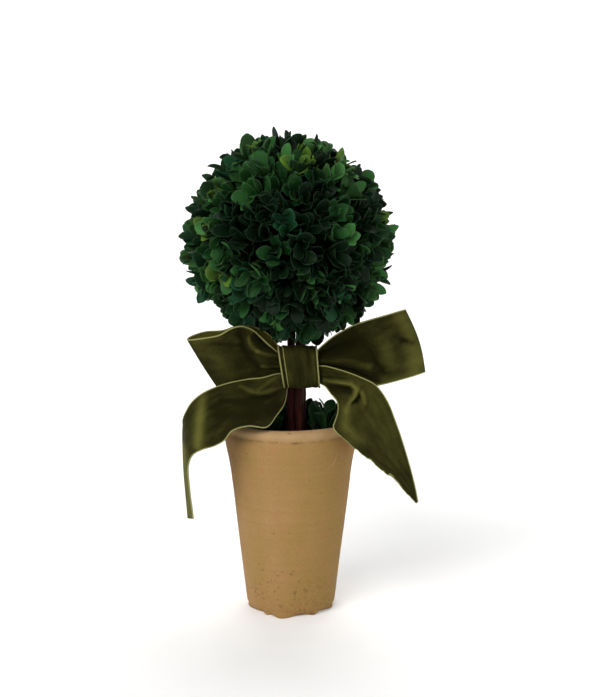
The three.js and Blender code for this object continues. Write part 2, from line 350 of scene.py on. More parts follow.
# %% Turn the pot
pot_low, pot_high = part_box("pot")
POT_HEIGHT = pot_high.z
LIP = (pot_high.x - pot_low.x) / 2
MOUTH = LIP - 7.7 * MM
WALL = 6 * MM
POT_SIDES = 200
FOOT_RADIUS = LIP - 17.6 * MM
TAPER = 0.118
# Each lump's place round the foot and its spread, in degrees
FOOT_LUMPS = [(-100, 15), (20, 22), (112, 22), (190, 24), (-58, 6), (62, 12), (152, 14), (236, 6), (-20, 10)]
FRONT_BLOB = (-102, 13, 4.2)  # the largest lump: its place and spread in degrees, and how far it juts out


def wall_radius(z):
    return FOOT_RADIUS + TAPER * z


def arc(centre, radii, start, end, steps):
    """Points (radius, height) along a part of an ellipse, in metres. Angles are in degrees."""
    points = []
    for k in range(steps + 1):
        turn = math.radians(start + (end - start) * k / steps)
        points.append((centre[0] + radii[0] * math.cos(turn), centre[1] + radii[1] * math.sin(turn)))
    return points


def pot_profile():
    """The pot's outline, from the middle of the foot, up outside, over the lip and down inside."""
    collar = POT_HEIGHT - 38 * MM
    outside = [(r, 0.0) for r in np.linspace(1 * MM, FOOT_RADIUS - 5.2 * MM, 7)]
    outside += [(wall_radius(1.6 * MM) - 2.6 * MM, 1.0 * MM), (wall_radius(3 * MM) - 0.9 * MM, 2.8 * MM)]
    outside += [(wall_radius(z), z) for z in np.linspace(5 * MM, collar, 60)]
    swell = [(32, -3.4), (27.5, -2.5), (23, -1.6), (19, -0.85), (15, -0.25), (11, 0.0)]
    outside += [(LIP + out * MM, POT_HEIGHT - drop * MM) for drop, out in swell]
    groove = [(LIP - 0.5 * MM, POT_HEIGHT - 9.2 * MM), (LIP - 1.7 * MM, POT_HEIGHT - 8.1 * MM)]
    roll = arc((LIP - 5.6 * MM, POT_HEIGHT - 4.4 * MM), (4.6 * MM, 4.4 * MM), -18, 128, 14)
    inside = [(MOUTH, POT_HEIGHT - 2.6 * MM), (MOUTH - 0.8 * MM, POT_HEIGHT - 6 * MM)]
    inside += [(wall_radius(z) - WALL, z) for z in np.linspace(collar, 9 * MM, 14)]
    inside += [(r, 9 * MM) for r in np.linspace(FOOT_RADIUS - WALL - 2 * MM, 1 * MM, 4)]
    return outside + groove + roll + inside


def lump(angle, centre, spread):
    """From 0 to 1: how much one lump stands out at an angle round the foot."""
    off = (math.degrees(angle) - centre + 540) % 360 - 180
    return math.exp(-((off / spread) ** 2))


def foot_lump(angle):
    return max(lump(angle, centre, spread) for centre, spread in FOOT_LUMPS)


def pot_point(radius, z, angle):
    """A point of the profile, turned to an angle and pushed about as the potter's hands have done."""
    x, y = math.cos(angle), math.sin(angle)
    if radius > FOOT_RADIUS - 6 * MM:
        wave = noise.noise(Vector((x * 1.3, y * 1.3, z / (60 * MM))))
        ring = noise.noise(Vector((x * 0.25, y * 0.25, z / (5 * MM))))
        radius += 0.5 * MM * wave + 0.13 * MM * ring
    if z < 1.5 * MM and radius > FOOT_RADIUS - 8 * MM:
        radius += (4.6 if z < 0.1 * MM else 2.3) * MM * foot_lump(angle)
        centre, spread, reach = FRONT_BLOB
        radius += reach * MM * lump(angle, centre, spread)
    if z < 0.1 * MM:
        return radius * x, radius * y, 0.0
    if z < 9 * MM and radius > FOOT_RADIUS - 3 * MM:
        uneven = 1 + noise.noise(Vector((x * 4, y * 4, 0)))
        z += (1 - z / (9 * MM)) * 1.4 * MM * (0.6 - foot_lump(angle)) * uneven
    top = 0.55 * MM * noise.noise(Vector((x * 1.1, y * 1.1, 3.0)))
    return radius * x, radius * y, max(0.3 * MM, z + top * max(0.0, z / POT_HEIGHT - 0.8) * 5)


def pot_mesh():
    profile = pot_profile()
    angles = [k * math.tau / POT_SIDES for k in range(POT_SIDES)]
    points = [pot_point(radius, z, angle) for radius, z in profile for angle in angles]
    faces = grid_faces(len(profile), POT_SIDES, wrap=True) + end_faces(len(profile), POT_SIDES)
    mesh = mesh_from("pot_body", points, faces)
    outward(mesh)
    print("pot", len(profile), "rings,", round(2 * LIP / MM, 1), "by", round(POT_HEIGHT / MM, 1), "mm")
    return mesh


# %% [markdown]
# ### The clay's finish
#
# Bare clay is never one colour. Broad clouds come from the fire and the damp, rings from the potter's
# fingers, and dark pits from grit that burnt out, thickest low down. A painted highlight pales the lip, and
# painted shadows of the ribbon's tails darken the clay under it. Each of these is one small mask, laid over
# the last.


# %% Masks
def distance(tree, where, point):
    """How far each place is from a point, in metres."""
    node = add_node(tree, "ShaderNodeVectorMath", {"operation": "DISTANCE"})
    feed(tree, node.inputs[0], where)
    feed(tree, node.inputs[1], point)
    return node.outputs["Value"]


def spot(tree, where, centre, radius, shape=(1.0, 1.0, 1.0)):
    """A soft mask, 1 at a place and 0 past the radius. A shape below 1 along an axis draws it out."""
    away = distance(tree, stretched(tree, where, shape), mm(centre) * np.array(shape))
    return ranged(tree, away, radius * MM, 0.2 * radius * MM)


def band(tree, value, middle, outer, inner):
    """A soft mask, 1 where a value is within inner of the middle and 0 where it is past outer."""
    off = maths(tree, "ABSOLUTE", maths(tree, "SUBTRACT", value, middle))
    return ranged(tree, off, outer, inner)


def warped(tree, where, scale, amount):
    """The same place, pushed about by noise, so that round marks come out ragged."""
    push = add_node(tree, "ShaderNodeTexNoise", Vector=where, Scale=scale, Detail=3.0)
    node = add_node(tree, "ShaderNodeVectorMath", {"operation": "MULTIPLY_ADD"})
    for number, value in enumerate((push.outputs["Color"], (amount, amount, amount), where)):
        feed(tree, node.inputs[number], value)
    return node.outputs["Vector"]


def pits(tree, where, scale, size, share):
    """Small round pits, a share of all the cells of a scattered pattern."""
    cells = add_node(tree, "ShaderNodeTexVoronoi", Vector=where, Scale=scale)
    chosen = add_node(tree, "ShaderNodeSeparateColor", Color=cells.outputs["Color"])
    picked = maths(tree, "LESS_THAN", chosen.outputs["Red"], share)
    return times(tree, ranged(tree, cells.outputs["Distance"], size, size * 0.55), picked)


# %% The fired colour
def fired_colour(tree, where, across):
    """Clouds of buff, ochre towards one side and in streaks, and pink blushes."""
    clouds = ranged(tree, noise_of(tree, where, 16.0, 4.0), 0.36, 0.66)
    base = mixed(tree, clouds, (0.365, 0.218, 0.095), (0.315, 0.182, 0.064))
    side = ranged(tree, across, -40 * MM, 35 * MM)
    base = mixed(tree, times(tree, side, 0.85), base, (0.286, 0.169, 0.045))
    streaks = noise_of(tree, stretched(tree, where, (1.0, 1.0, 0.45)), 52.0)
    base = mixed(tree, ranged(tree, streaks, 0.42, 0.66, 0.0, 0.55), base, (0.270, 0.174, 0.045))
    blush = ranged(tree, noise_of(tree, where, 110.0), 0.52, 0.66, 0.0, 0.34)
    return mixed(tree, blush, base, (0.350, 0.162, 0.072))


def lip_highlight_and_shadows(tree, where, height, base):
    """The painted highlight on the lip, and the painted shadows of the ribbon's two tails under it."""
    # Painted highlight: the upper part of the lip's roll is drawn paler, broken up by noise.
    lip_highlight = times(tree, ranged(tree, height, 140.5 * MM, 145 * MM), noise_of(tree, where, 60.0))
    base = mixed(tree, times(tree, lip_highlight, 0.9), base, (0.440, 0.300, 0.165))
    # Painted shadows of the ribbon's two tails, on the clay under the lip.
    right, left = spot(tree, where, (43, -31, 138), 17), spot(tree, where, (-50, -12, 141), 17)
    uneven = ranged(tree, noise_of(tree, where, 130.0), 0.35, 0.65)
    tail_shadows = times(tree, maths(tree, "MAXIMUM", right, left), uneven)
    return mixed(tree, times(tree, tail_shadows, 0.55), base, (0.25, 0.105, 0.035))


# %% [markdown]
# ### Marks in the clay
#
# The small accidents make it look fired rather than painted: the groove under the lip is painted darker as
# shade and has a short crack in it, something has left a fine curved scratch, and grit has burnt out of the
# surface. The pits' outlines are pushed about with noise, as a burnt-out grain is never round.

# %% Clay marks
GROOVE_HEIGHT = 141.8 * MM
SCRATCH_CENTRE = (26.5, -44.0, 130.0)  # the scratch runs on a sphere round this place
SCRATCH_RADIUS = 11.5 * MM


def groove_shade_and_crack(tree, where, height):
    """Painted shade: a ragged dark line in the groove, with a short crack in it that is darker still."""
    line = band(tree, height, GROOVE_HEIGHT, 1.1 * MM, 0.3 * MM)
    ragged = ranged(tree, noise_of(tree, where, 150.0, 4.0), 0.42, 0.70)
    crack = spot(tree, warped(tree, where, 300.0, 0.0008), (4.4, -51.4, 141.9), 1.0, (0.19, 0.3, 1.0))
    return maths(tree, "MAXIMUM", times(tree, times(tree, line, ragged), 0.6), crack)


def scratch(tree, where):
    """A fine arc: where the wall meets a sphere's surface, kept to one patch."""
    away = distance(tree, where, mm(SCRATCH_CENTRE))
    arc_line = band(tree, away, SCRATCH_RADIUS, 0.5 * MM, 0.1 * MM)
    return times(tree, arc_line, spot(tree, where, (36.0, -38.0, 122.5), 11.0))


def burnt_holes(tree, where, height):
    """Small and large pits and a gritty speckle, all of them thickest near the foot."""
    ragged = warped(tree, where, 420.0, 0.0016)
    patches = ranged(tree, noise_of(tree, where, 45.0), 0.40, 0.62, 0.25, 1.0)
    many = times(tree, ranged(tree, height, 50 * MM, 8 * MM, 0.10, 0.75), patches)
    few = times(tree, ranged(tree, height, 45 * MM, 8 * MM, 0.12, 0.75), patches)
    small, large = pits(tree, ragged, 330.0, 0.22, many), pits(tree, ragged, 120.0, 0.15, few)
    grit = ranged(tree, noise_of(tree, where, 420.0, 3.0, 0.6), 0.545, 0.65)
    gritty = ranged(tree, noise_of(tree, where, 75.0), 0.46, 0.58, 0.06, 1.0)
    gritty = times(tree, ranged(tree, height, 34 * MM, 24 * MM, 0.16, 0.8), gritty)
    small = maths(tree, "MAXIMUM", small, times(tree, grit, gritty))
    return maths(tree, "MAXIMUM", small, large)


# %% Clay material
def clay_material():
    material, tree, shader = new_material("buff_clay", Roughness=0.88, Specular_IOR_Level=0.25)
    where = own_place(tree)
    place = add_node(tree, "ShaderNodeSeparateXYZ", Vector=where).outputs
    rings = noise_of(tree, stretched(tree, where, (9.0, 9.0, 420.0)), 1.0)
    fine = noise_of(tree, where, 620.0)
    holes = burnt_holes(tree, where, place["Z"])
    base = fired_colour(tree, where, place["X"])
    base = mixed(tree, ranged(tree, rings, 0.3, 0.75, 0.0, 0.22), base, (0.220, 0.125, 0.043))
    base = mixed(tree, ranged(tree, fine, 0.35, 0.65, 0.0, 0.24), base, (0.200, 0.112, 0.040))
    # Painted highlight on the lip, and painted shadows of the tails.
    base = lip_highlight_and_shadows(tree, where, place["Z"], base)
    # Painted shade in the groove under the lip, darkest along a real crack.
    base = mixed(tree, times(tree, groove_shade_and_crack(tree, where, place["Z"]), 0.75), base, (0.085, 0.038, 0.014))
    base = mixed(tree, times(tree, scratch(tree, where), 0.5), base, (0.48, 0.36, 0.20))
    base = mixed(tree, times(tree, holes, 0.62), base, (0.098, 0.042, 0.013))
    colour(tree, shader, base)
    relief = maths(tree, "ADD", times(tree, rings, 0.35), times(tree, fine, 0.18))
    bump(tree, shader, maths(tree, "SUBTRACT", relief, times(tree, holes, 0.9)), 0.35 * MM)
    print(material.name, len(tree.nodes), "nodes")
    return material


clay = clay_material()
pot = finish_piece(add_object("pot_body", pot_mesh(), clay), "clay", "pot")

# %% [markdown]
# ## What fills the pot
#
# The stems are held by setting foam, covered with a thin layer of dark, dry moss. It is only seen down in
# the shadow of the lip, so a disc with a rough top is enough. It is closed underneath, like the real
# plug.

# %% Fill
fill_low, fill_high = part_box("pot_fill")


def fill_mesh():
    sides = 96
    outer = fill_high.x + 0.3 * MM
    top = [(outer * share, fill_high.z) for share in np.linspace(0.97, 0.03, 26)]
    rings = [(2 * MM, fill_low.z), (fill_low.x * -0.78, fill_low.z), (outer, fill_high.z - 3 * MM), *top]
    points = []
    for radius, z in rings:
        for k in range(sides):
            turn = k * math.tau / sides
            x, y, rise = radius * math.cos(turn), radius * math.sin(turn), 0.0
            if z >= fill_high.z:
                rise = 1.6 * MM * noise.fractal(Vector((x, y, 0)) * 160, 0.8, 2.1, 3)
                rise += 6 * MM * (radius / outer) ** 4  # the moss is heaped up against the wall
            points.append((x, y, z + rise))
    faces = grid_faces(len(rings), sides, wrap=True) + end_faces(len(rings), sides)
    mesh = mesh_from("moss_bed", points, faces)
    outward(mesh)
    return mesh


def moss_material(name, dark, light):
    material, tree, shader = new_material(name, Roughness=0.95, Specular_IOR_Level=0.1)
    where = own_place(tree)
    coarse, fine = noise_of(tree, where, 220.0, 5.0), noise_of(tree, where, 900.0, 4.0)
    colour(tree, shader, mixed(tree, ranged(tree, coarse, 0.4, 0.75), dark, light))
    bump(tree, shader, maths(tree, "ADD", coarse, fine), 1.2 * MM)
    return material


moss = moss_material("dry_moss", (0.008, 0.008, 0.005), (0.022, 0.024, 0.010))
finish_piece(add_object("moss_bed", fill_mesh(), moss), "fill", "pot_fill")
print("fill from", round(fill_low.z / MM, 1), "to", round(fill_high.z / MM, 1), "mm")

# %% [markdown]
# ## The stems
#
# Three bare shrub stems run up side by side into the ball. A stem is a path with a round section, so
# Geometry Nodes sweep one along a line. The tree then pushes the surface in and out with noise that is
# drawn out along the stem, which gives the long ridges and the small knobs of real bark.


# %% Helpers for Geometry Nodes
def new_tree(name, inputs):
    """A Geometry Nodes tree with named inputs, and its input and output nodes."""
    tree = bpy.data.node_groups.new(name, "GeometryNodeTree")
    for label, kind in inputs:
        tree.interface.new_socket(label, in_out="INPUT", socket_type="NodeSocket" + kind)
    tree.interface.new_socket("Geometry", in_out="OUTPUT", socket_type="NodeSocketGeometry")
    return tree, tree.nodes.new("NodeGroupInput").outputs, tree.nodes.new("NodeGroupOutput").inputs[0]


def run_tree(host, tree, values, name):
    """Runs a tree on a host object and returns the result as a plain object. The host is removed."""
    modifier = host.modifiers.new("run", "NODES")
    modifier.node_group = tree
    for label, value in values.items():
        modifier[tree.interface.items_tree[label].identifier] = value
    view = bpy.context.evaluated_depsgraph_get()
    mesh = bpy.data.meshes.new_from_object(host.evaluated_get(view), depsgraph=view)
    mesh.name = name
    host.modifiers.remove(modifier)
    bpy.data.objects.remove(host)
    if mesh.materials and mesh.materials[0] is None:  # an empty slot, left by the host
        finishes = list(mesh.materials)[1:]
        numbers = [face.material_index - 1 for face in mesh.polygons]
        mesh.materials.clear()
        for finish in finishes:
            mesh.materials.append(finish)
        mesh.polygons.foreach_set("material_index", numbers)
    return add_object(name, mesh)


def seeded_noise(tree, where, seed, scale, detail):
    size = {"Vector": where, "W": seed, "Scale": scale, "Detail": detail}
    return add_node(tree, "ShaderNodeTexNoise", {"noise_dimensions": "4D"}, **size).outputs["Fac"]


def finished(tree, made, material):
    """Plain geometry with one finish all over."""
    whole = add_node(tree, "GeometryNodeRealizeInstances", Geometry=made).outputs[0]
    return add_node(tree, "GeometryNodeSetMaterial", Geometry=whole, Material=material).outputs[0]


# %% The stem tree
def stem_tree():
    inputs = [("Geometry", "Geometry"), ("Foot Radius", "Float"), ("Top Radius", "Float")]
    inputs += [("Relief", "Float"), ("Seed", "Float"), ("Bark", "Material")]
    tree, given, out = new_tree("bark_stem", inputs)
    path = add_node(tree, "GeometryNodeMeshToCurve", Mesh=given["Geometry"])
    even = add_node(tree, "GeometryNodeResampleCurve", Curve=path.outputs[0], Count=150)
    along = tree.nodes.new("GeometryNodeSplineParameter").outputs["Factor"]
    taper = ranged(tree, along, 0.0, 1.0, given["Foot Radius"], given["Top Radius"])
    circle = add_node(tree, "GeometryNodeCurvePrimitiveCircle", Resolution=40, Radius=1.0)
    section = {"Profile_Curve": circle.outputs["Curve"], "Scale": taper, "Fill_Caps": True}
    sweep = add_node(tree, "GeometryNodeCurveToMesh", Curve=even.outputs[0], **section)
    place = tree.nodes.new("GeometryNodeInputPosition").outputs[0]
    drawn_out = add_node(tree, "ShaderNodeVectorMath", {"operation": "MULTIPLY"})
    feed(tree, drawn_out.inputs[0], place)
    feed(tree, drawn_out.inputs[1], (1.0, 1.0, 0.16))
    ridges_up = seeded_noise(tree, drawn_out.outputs[0], given["Seed"], 420.0, 4.0)
    knobs = seeded_noise(tree, place, given["Seed"], 75.0, 1.0)
    height = maths(tree, "SUBTRACT", maths(tree, "ADD", ridges_up, knobs), 1.05)
    scale = times(tree, height, given["Relief"])
    push = add_node(tree, "ShaderNodeVectorMath", {"operation": "SCALE"}, Scale=scale)
    feed(tree, push.inputs[0], tree.nodes.new("GeometryNodeInputNormal").outputs[0])
    moved = add_node(tree, "GeometryNodeSetPosition", Geometry=sweep.outputs[0], Offset=push.outputs[0])
    feed(tree, out, finished(tree, moved.outputs[0], given["Bark"]))
    print(tree.name, len(tree.nodes), "nodes")
    return tree


# %% [markdown]
# ### Bark
#
# The bark is a dark red-brown skin with paler streaks up the stem, where it has stretched, and a few
# rubbed flecks. Two noises are enough: one drawn out along Z for the streaks, one left round for the
# flecks.


# %% Bark
def bark_material():
    material, tree, shader = new_material("red_bark", Roughness=0.7, Specular_IOR_Level=0.12)
    where = own_place(tree)
    streaks = noise_of(tree, stretched(tree, where, (1.0, 1.0, 0.1)), 480.0, 5.0)
    flecks = noise_of(tree, where, 700.0, 3.0)
    base = mixed(tree, ranged(tree, streaks, 0.35, 0.7), (0.014, 0.0028, 0.0020), (0.062, 0.0135, 0.0085))
    base = mixed(tree, ranged(tree, flecks, 0.62, 0.8, 0.0, 0.5), base, (0.085, 0.030, 0.018))
    colour(tree, shader, base)
    bump(tree, shader, maths(tree, "ADD", streaks, times(tree, flecks, 0.4)), 0.5 * MM)
    return material


bark = bark_material()

# %% [markdown]
# ### Set the stems
#
# Each stem's foot, top and radii are read from its node in the frame. Between them it sways a little, as
# no twig grows quite straight.


# %% Stems
STOUTER = {"stem_left": 1.28, "stem_front": 1.08, "stem_back": 1.08}  # bark and all, over the frame's stems
SWAY = 0.35


def stem_end(node, top):
    """The middle and the radius of a stem's top or foot, read from the frame."""
    points = np.array([tuple(v.co) for v in frame["nodes"][node].data.vertices])
    height = points[:, 2].max() if top else points[:, 2].min()
    end = points[abs(points[:, 2] - height) < 1 * MM]
    low, high = end.min(0), end.max(0)
    return (low + high) / 2, (high[0] - low[0]) / 2


stem_nodes = stem_tree()
stems = []
for number, (node, stouter) in enumerate(STOUTER.items()):
    (foot, foot_radius), (top, top_radius) = stem_end(node, False), stem_end(node, True)
    sway = random.Random(number)
    path = [foot + (top - foot) * share for share in np.linspace(0, 1, 9)]
    path[1:-1] = [p + mm((sway.uniform(-SWAY, SWAY), sway.uniform(-SWAY, SWAY), 0)) for p in path[1:-1]]
    line = bpy.data.meshes.new("path")
    line.from_pydata([tuple(p) for p in path], [(k, k + 1) for k in range(len(path) - 1)], [])
    values = {"Foot Radius": foot_radius * stouter, "Top Radius": top_radius * stouter}
    values |= {"Relief": 1.5 * MM, "Seed": float(number), "Bark": bark}
    stem = run_tree(add_object("path", line), stem_nodes, values, "bark_" + node)
    outward(stem.data)
    stems.append(finish_piece(stem, "bark", node))

# %% [markdown]
# ## The velvet ribbon
#
# The bow is one 50 mm velvet ribbon: two loops, two tails, and a turn over the middle that hides the
# knot. Cloth simulation would lay it somewhere near, but a tied bow is held by its pleats, and those have
# to sit where the hands left them. So each stretch is lofted between its two selvedges, and then folded
# along a few named creases. A crease is a path on the ribbon's face with a height and a width at each
# point: a positive height comes forward, a negative one sinks back.


# %% Ribbon sheets
RIBBON_WIDTH = 50 * MM
RIBBON_THICK = 0.9 * MM


def smooth_path(places, count):
    """count + 1 points along a Catmull-Rom curve through the places."""
    pts = mm(places)
    ends = np.vstack([2 * pts[0] - pts[1], pts, 2 * pts[-1] - pts[-2]])
    where = np.linspace(0, len(pts) - 1 - 1e-9, count + 1)
    k = where.astype(int)
    t = (where - k)[:, None]
    a, b, c, d = ends[k], ends[k + 1], ends[k + 2], ends[k + 3]
    return 0.5 * (2 * b + (c - a) * t + (2 * a - 5 * b + 4 * c - d) * t**2 + (3 * b - a - 3 * c + d) * t**3)


def loft(upper, lower, rows, columns):
    """A grid of points between two selvedges, rows along the ribbon and columns across it."""
    top, bottom = smooth_path(upper, rows), smooth_path(lower, rows)
    share = np.linspace(0, 1, columns + 1)[None, :, None]
    return top[:, None] * (1 - share) + bottom[:, None] * share


def along_path(grid, path):
    """For each point of a grid, seen from in front: its distance from a path, and the values there."""
    flat = grid[..., [0, 2]]
    best = np.full(flat.shape[:2], 1e9)
    values = np.zeros((*flat.shape[:2], len(path[0]) - 2))
    for start, end in zip(path[:-1], path[1:]):
        a, b = mm(start[:2]), mm(end[:2])
        share = np.clip(((flat - a) @ (b - a)) / ((b - a) @ (b - a)), 0, 1)
        away = np.linalg.norm(flat - (a + share[..., None] * (b - a)), axis=-1)
        nearer = away < best
        best[nearer] = away[nearer]
        at = np.array(start[2:]) + share[..., None] * (np.array(end[2:], float) - np.array(start[2:]))
        values[nearer] = at[nearer]
    return best, values


def ridges(grid, paths):
    """The sum of soft ridges along paths. A path is a list of (x, z, height, width), in millimetres."""
    total = np.zeros(grid.shape[:2])
    for path in paths:
        away, values = along_path(grid, path)
        total += values[..., 0] * np.exp(-((away / (values[..., 1] * MM)) ** 2))
    return total


def crease(grid, paths, weight=1.0):
    """Folds a grid along creases: what stands up comes forward. The weight may differ from row to row."""
    grid[..., 1] -= ridges(grid, paths) * MM * weight
    return grid


def ribbon_object(name, grid, painted_light_paths=(), back=True):
    """A sheet of ribbon. Its map is laid out in ribbon widths, and painted highlights and painted shade lie
    along paths.
    """
    rows, columns = grid.shape[:2]
    steps = np.linalg.norm(np.diff(grid[:, columns // 2], axis=0), axis=1)
    run = np.concatenate([[0], np.cumsum(steps)]) / RIBBON_WIDTH
    uv = [(run[r], c / (columns - 1)) for r in range(rows) for c in range(columns)]
    faces = grid_faces(rows, columns)
    first, along, across = grid[0, columns // 2], grid[8, columns // 2], grid[0, columns // 2 + 4]
    if np.cross(across - first, along - first)[1] > 0:
        faces = [face[::-1] for face in faces]
    mesh = mesh_from(name, grid.reshape(-1, 3), faces, uv)
    layer = mesh.attributes.new("nap", "FLOAT", "POINT")
    layer.data.foreach_set("value", ridges(grid, painted_light_paths).ravel())
    obj = add_object(name, mesh, velvet, velvet_back, selvedge)
    wall = obj.modifiers.new("thickness", "SOLIDIFY")
    wall.thickness = RIBBON_THICK
    wall.offset = 0.0
    wall.material_offset = 1 if back else 0
    wall.material_offset_rim = 2
    print(name, round(run[-1] * RIBBON_WIDTH / MM), "mm long")
    return obj


# %% [markdown]
# ### Velvet
#
# Velvet is dark where we look down into the pile and pale where we look along it. The shader's sheen does
# that. The base colour also carries painted highlights on ridges and painted shade in folds, stored on each
# sheet, and a soft noise for pile brushed this way and that by handling; a very fine noise breaks it into
# tufts. The reverse is a flat weave, a little paler, and the selvedge is a tight, pale, yellow-green cord.


# %% Velvet material
def velvet_material(name, dark, light, sheen):
    material, tree, shader = new_material(name, Roughness=0.9, Specular_IOR_Level=0.05)
    shader.inputs["Sheen Weight"].default_value = sheen
    shader.inputs["Sheen Roughness"].default_value = 0.42
    shader.inputs["Sheen Tint"].default_value = (0.62, 0.62, 0.24, 1.0)
    place = add_node(tree, "ShaderNodeUVMap", {"uv_map": "Ribbon"}).outputs[0]
    nap = add_node(tree, "ShaderNodeAttribute", {"attribute_name": "nap"}).outputs["Fac"]
    brushed = noise_of(tree, stretched(tree, place, (1.0, 2.2, 1.0)), 3.2, 3.0)
    streaks = noise_of(tree, stretched(tree, place, (26.0, 5.0, 1.0)), 3.0, 2.0)
    tufts = noise_of(tree, place, 75.0, 3.0, 0.8)
    # The tone takes in the painted highlights and painted shade stored on the sheet.
    tone = maths(tree, "ADD", ranged(tree, brushed, 0.35, 0.75, 0.0, 0.24), nap)
    tone = maths(tree, "ADD", tone, ranged(tree, streaks, 0.3, 0.7, -0.06, 0.06))
    tone = maths(tree, "ADD", tone, ranged(tree, tufts, 0.3, 0.7, -0.17, 0.17))
    colour(tree, shader, mixed(tree, ranged(tree, tone, 0.0, 1.0), dark, light))
    bump(tree, shader, maths(tree, "ADD", tufts, times(tree, brushed, 0.6)), 0.35 * MM)
    return material


def selvedge_material():
    material, tree, shader = new_material("pale_selvedge", Roughness=0.6)
    where = own_place(tree)
    weave = add_node(tree, "ShaderNodeTexWave", Vector=where, Scale=900.0, Distortion=2.0)
    colour(tree, shader, mixed(tree, weave.outputs["Fac"], (0.190, 0.190, 0.052), (0.34, 0.335, 0.105)))
    bump(tree, shader, weave.outputs["Fac"], 0.12 * MM)
    return material


velvet = velvet_material("olive_velvet", (0.0100, 0.0098, 0.0016), (0.096, 0.095, 0.0200), 0.06)
velvet_back = velvet_material("velvet_reverse", (0.060, 0.058, 0.009), (0.14, 0.13, 0.024), 0.08)
selvedge = selvedge_material()
print("ribbon", round(RIBBON_WIDTH / MM), "mm wide:", velvet.name, velvet_back.name, selvedge.name)

# %% [markdown]
# ### The selvedge cord
#
# Each sheet's two long edges carry the woven selvedge. It follows a path, so Geometry Nodes sweep a small
# circle along the edge's own points, and the same tree serves every edge of the bow.


# %% Selvedge cords
def cord_tree():
    inputs = [("Geometry", "Geometry"), ("Radius", "Float"), ("Finish", "Material")]
    tree, given, out = new_tree("selvedge_cord", inputs)
    path = add_node(tree, "GeometryNodeMeshToCurve", Mesh=given["Geometry"])
    circle = add_node(tree, "GeometryNodeCurvePrimitiveCircle", Resolution=8, Radius=given["Radius"])
    section = {"Profile_Curve": circle.outputs["Curve"], "Fill_Caps": True}
    sweep = add_node(tree, "GeometryNodeCurveToMesh", Curve=path.outputs[0], **section)
    feed(tree, out, finished(tree, sweep.outputs[0], given["Finish"]))
    print(tree.name, len(tree.nodes), "nodes")
    return tree


cord_nodes = cord_tree()


def cords(name, lines, node, radius=0.58):
    """One piece of selvedge cord along each of several lines of points."""
    points, edges = [], []
    for line in lines:
        edges += [(len(points) + k, len(points) + k + 1) for k in range(len(line) - 1)]
        points += [tuple(p) for p in line]
    mesh = bpy.data.meshes.new("lines")
    mesh.from_pydata(points, edges, [])
    values = {"Radius": radius * MM, "Finish": selvedge}
    piece = run_tree(add_object("lines", mesh), cord_nodes, values, name)
    piece.data.shade_smooth()
    return finish_piece(piece, "velvet", node)


# %% [markdown]
# ### The loops
#
# A loop goes out from the knot, folds round at its far end and comes back behind. The stations below are
# given places for the two selvedges, in millimetres, front layer first. Creases only work on the front
# layer: the weight runs out before the fold. Next to the knot the 50 mm ribbon is squeezed to less than
# half its width, and the deep hollow and the ridges there are where the spare cloth has gone.

# %% Loop stations
LOOP_ROWS, LOOP_COLUMNS = 240, 56

LEFT_LOOP_UPPER = [
    ((-6, -17, 205), (-10, -19.5, 206.5), (-17, -25, 213), (-23, -28, 219), (-29, -31, 225)),
    ((-37, -33, 228), (-45, -33, 226), (-54, -32, 221), (-65, -29, 218.5), (-76, -24, 216.5)),
    ((-79, -21, 216.5), (-76, -17, 218.5), (-66, -10, 221), (-53, -6, 221.5), (-42, -6, 225)),
    ((-30, -12, 225.5), (-19, -14, 221), (-13, -13, 215), (-9, -12, 209), (-5, -12, 207)),
]
LEFT_LOOP_LOWER = [
    ((-6, -17, 188), (-10, -18, 186), (-14, -19, 183), (-18, -21, 180), (-23, -22, 177.5)),
    ((-28, -23, 175), (-33, -24, 173), (-38, -24, 171.5), (-43, -24, 170), (-47.5, -22, 169)),
    ((-49, -19.5, 168.5), (-47.5, -16, 170), (-43, -13, 172), (-37, -11, 174), (-30, -9, 177)),
    ((-23, -8, 180), (-17, -9, 183), (-12, -10, 186), (-8, -11, 189), (-5, -12, 191)),
]
LEFT_LOOP_CREASES = [
    [(-11, 205.8, -3, 1.0), (-15, 208, -7, 1.6), (-20, 211.5, -11, 2.2)]
    + [(-25, 217, -11, 2.4), (-27.5, 221, -6, 2.0)],
    [(-10, 203, 1.0, 1.8), (-17, 205, 2.8, 2.0), (-25, 208, 3.8, 2.2)]
    + [(-30, 213.5, 4.2, 2.2), (-32, 220, 3.4, 2.0)],
    [(-38, 224, -3.0, 2.6), (-35.5, 212, -4.0, 2.6), (-30, 202, -4.0, 2.4), (-25, 195, -3.0, 2.2)],
    [(-22, 196, 0.8, 1.2), (-17, 197, 1.6, 1.2), (-9, 195, 1.4, 1.2)],
    [(-20, 193.6, -1.2, 1.3), (-15, 194.2, -2.8, 1.3), (-9, 193, -2.0, 1.3)],
    [(-64, 208, 3.0, 9), (-50, 198, 4.0, 9), (-44, 188, 3.0, 8)],
    [(-60, 215, -0.7, 1.6), (-48, 213.6, -1.0, 1.6), (-38, 213, -0.8, 1.6)],
]
RIGHT_LOOP_UPPER = [
    ((21, -18, 207.5), (24, -20.5, 211), (28, -23, 215), (34, -26, 220), (42, -28, 225)),
    ((50, -29, 229), (60, -29, 232.3), (70, -27.5, 235), (79, -25, 237.3), (86, -22, 239)),
    ((88, -19.5, 239), (86, -16.5, 237.5), (78, -11, 234.3), (66, -8, 230.5), (54, -6, 226.5)),
    ((44, -5, 222), (36, -6, 218), (29, -9, 213.5), (24, -11, 209.5), (21, -12, 207)),
]
RIGHT_LOOP_LOWER = [
    ((21, -18, 189), (26, -20, 187), (33, -22, 184), (42, -25, 181.5), (52, -27, 180.5)),
    ((62, -28, 181), (72, -28, 183.2), (83, -27, 186), (93, -25, 188.5), (101, -22, 190.7)),
    ((103.5, -19.5, 191.5), (101, -16.5, 192), (92, -11, 190), (80, -8, 188), (67, -7, 187)),
    ((54, -6, 186.5), (43, -6, 187), (33, -8, 188.5), (26, -10, 190), (21, -12, 191.5)),
]
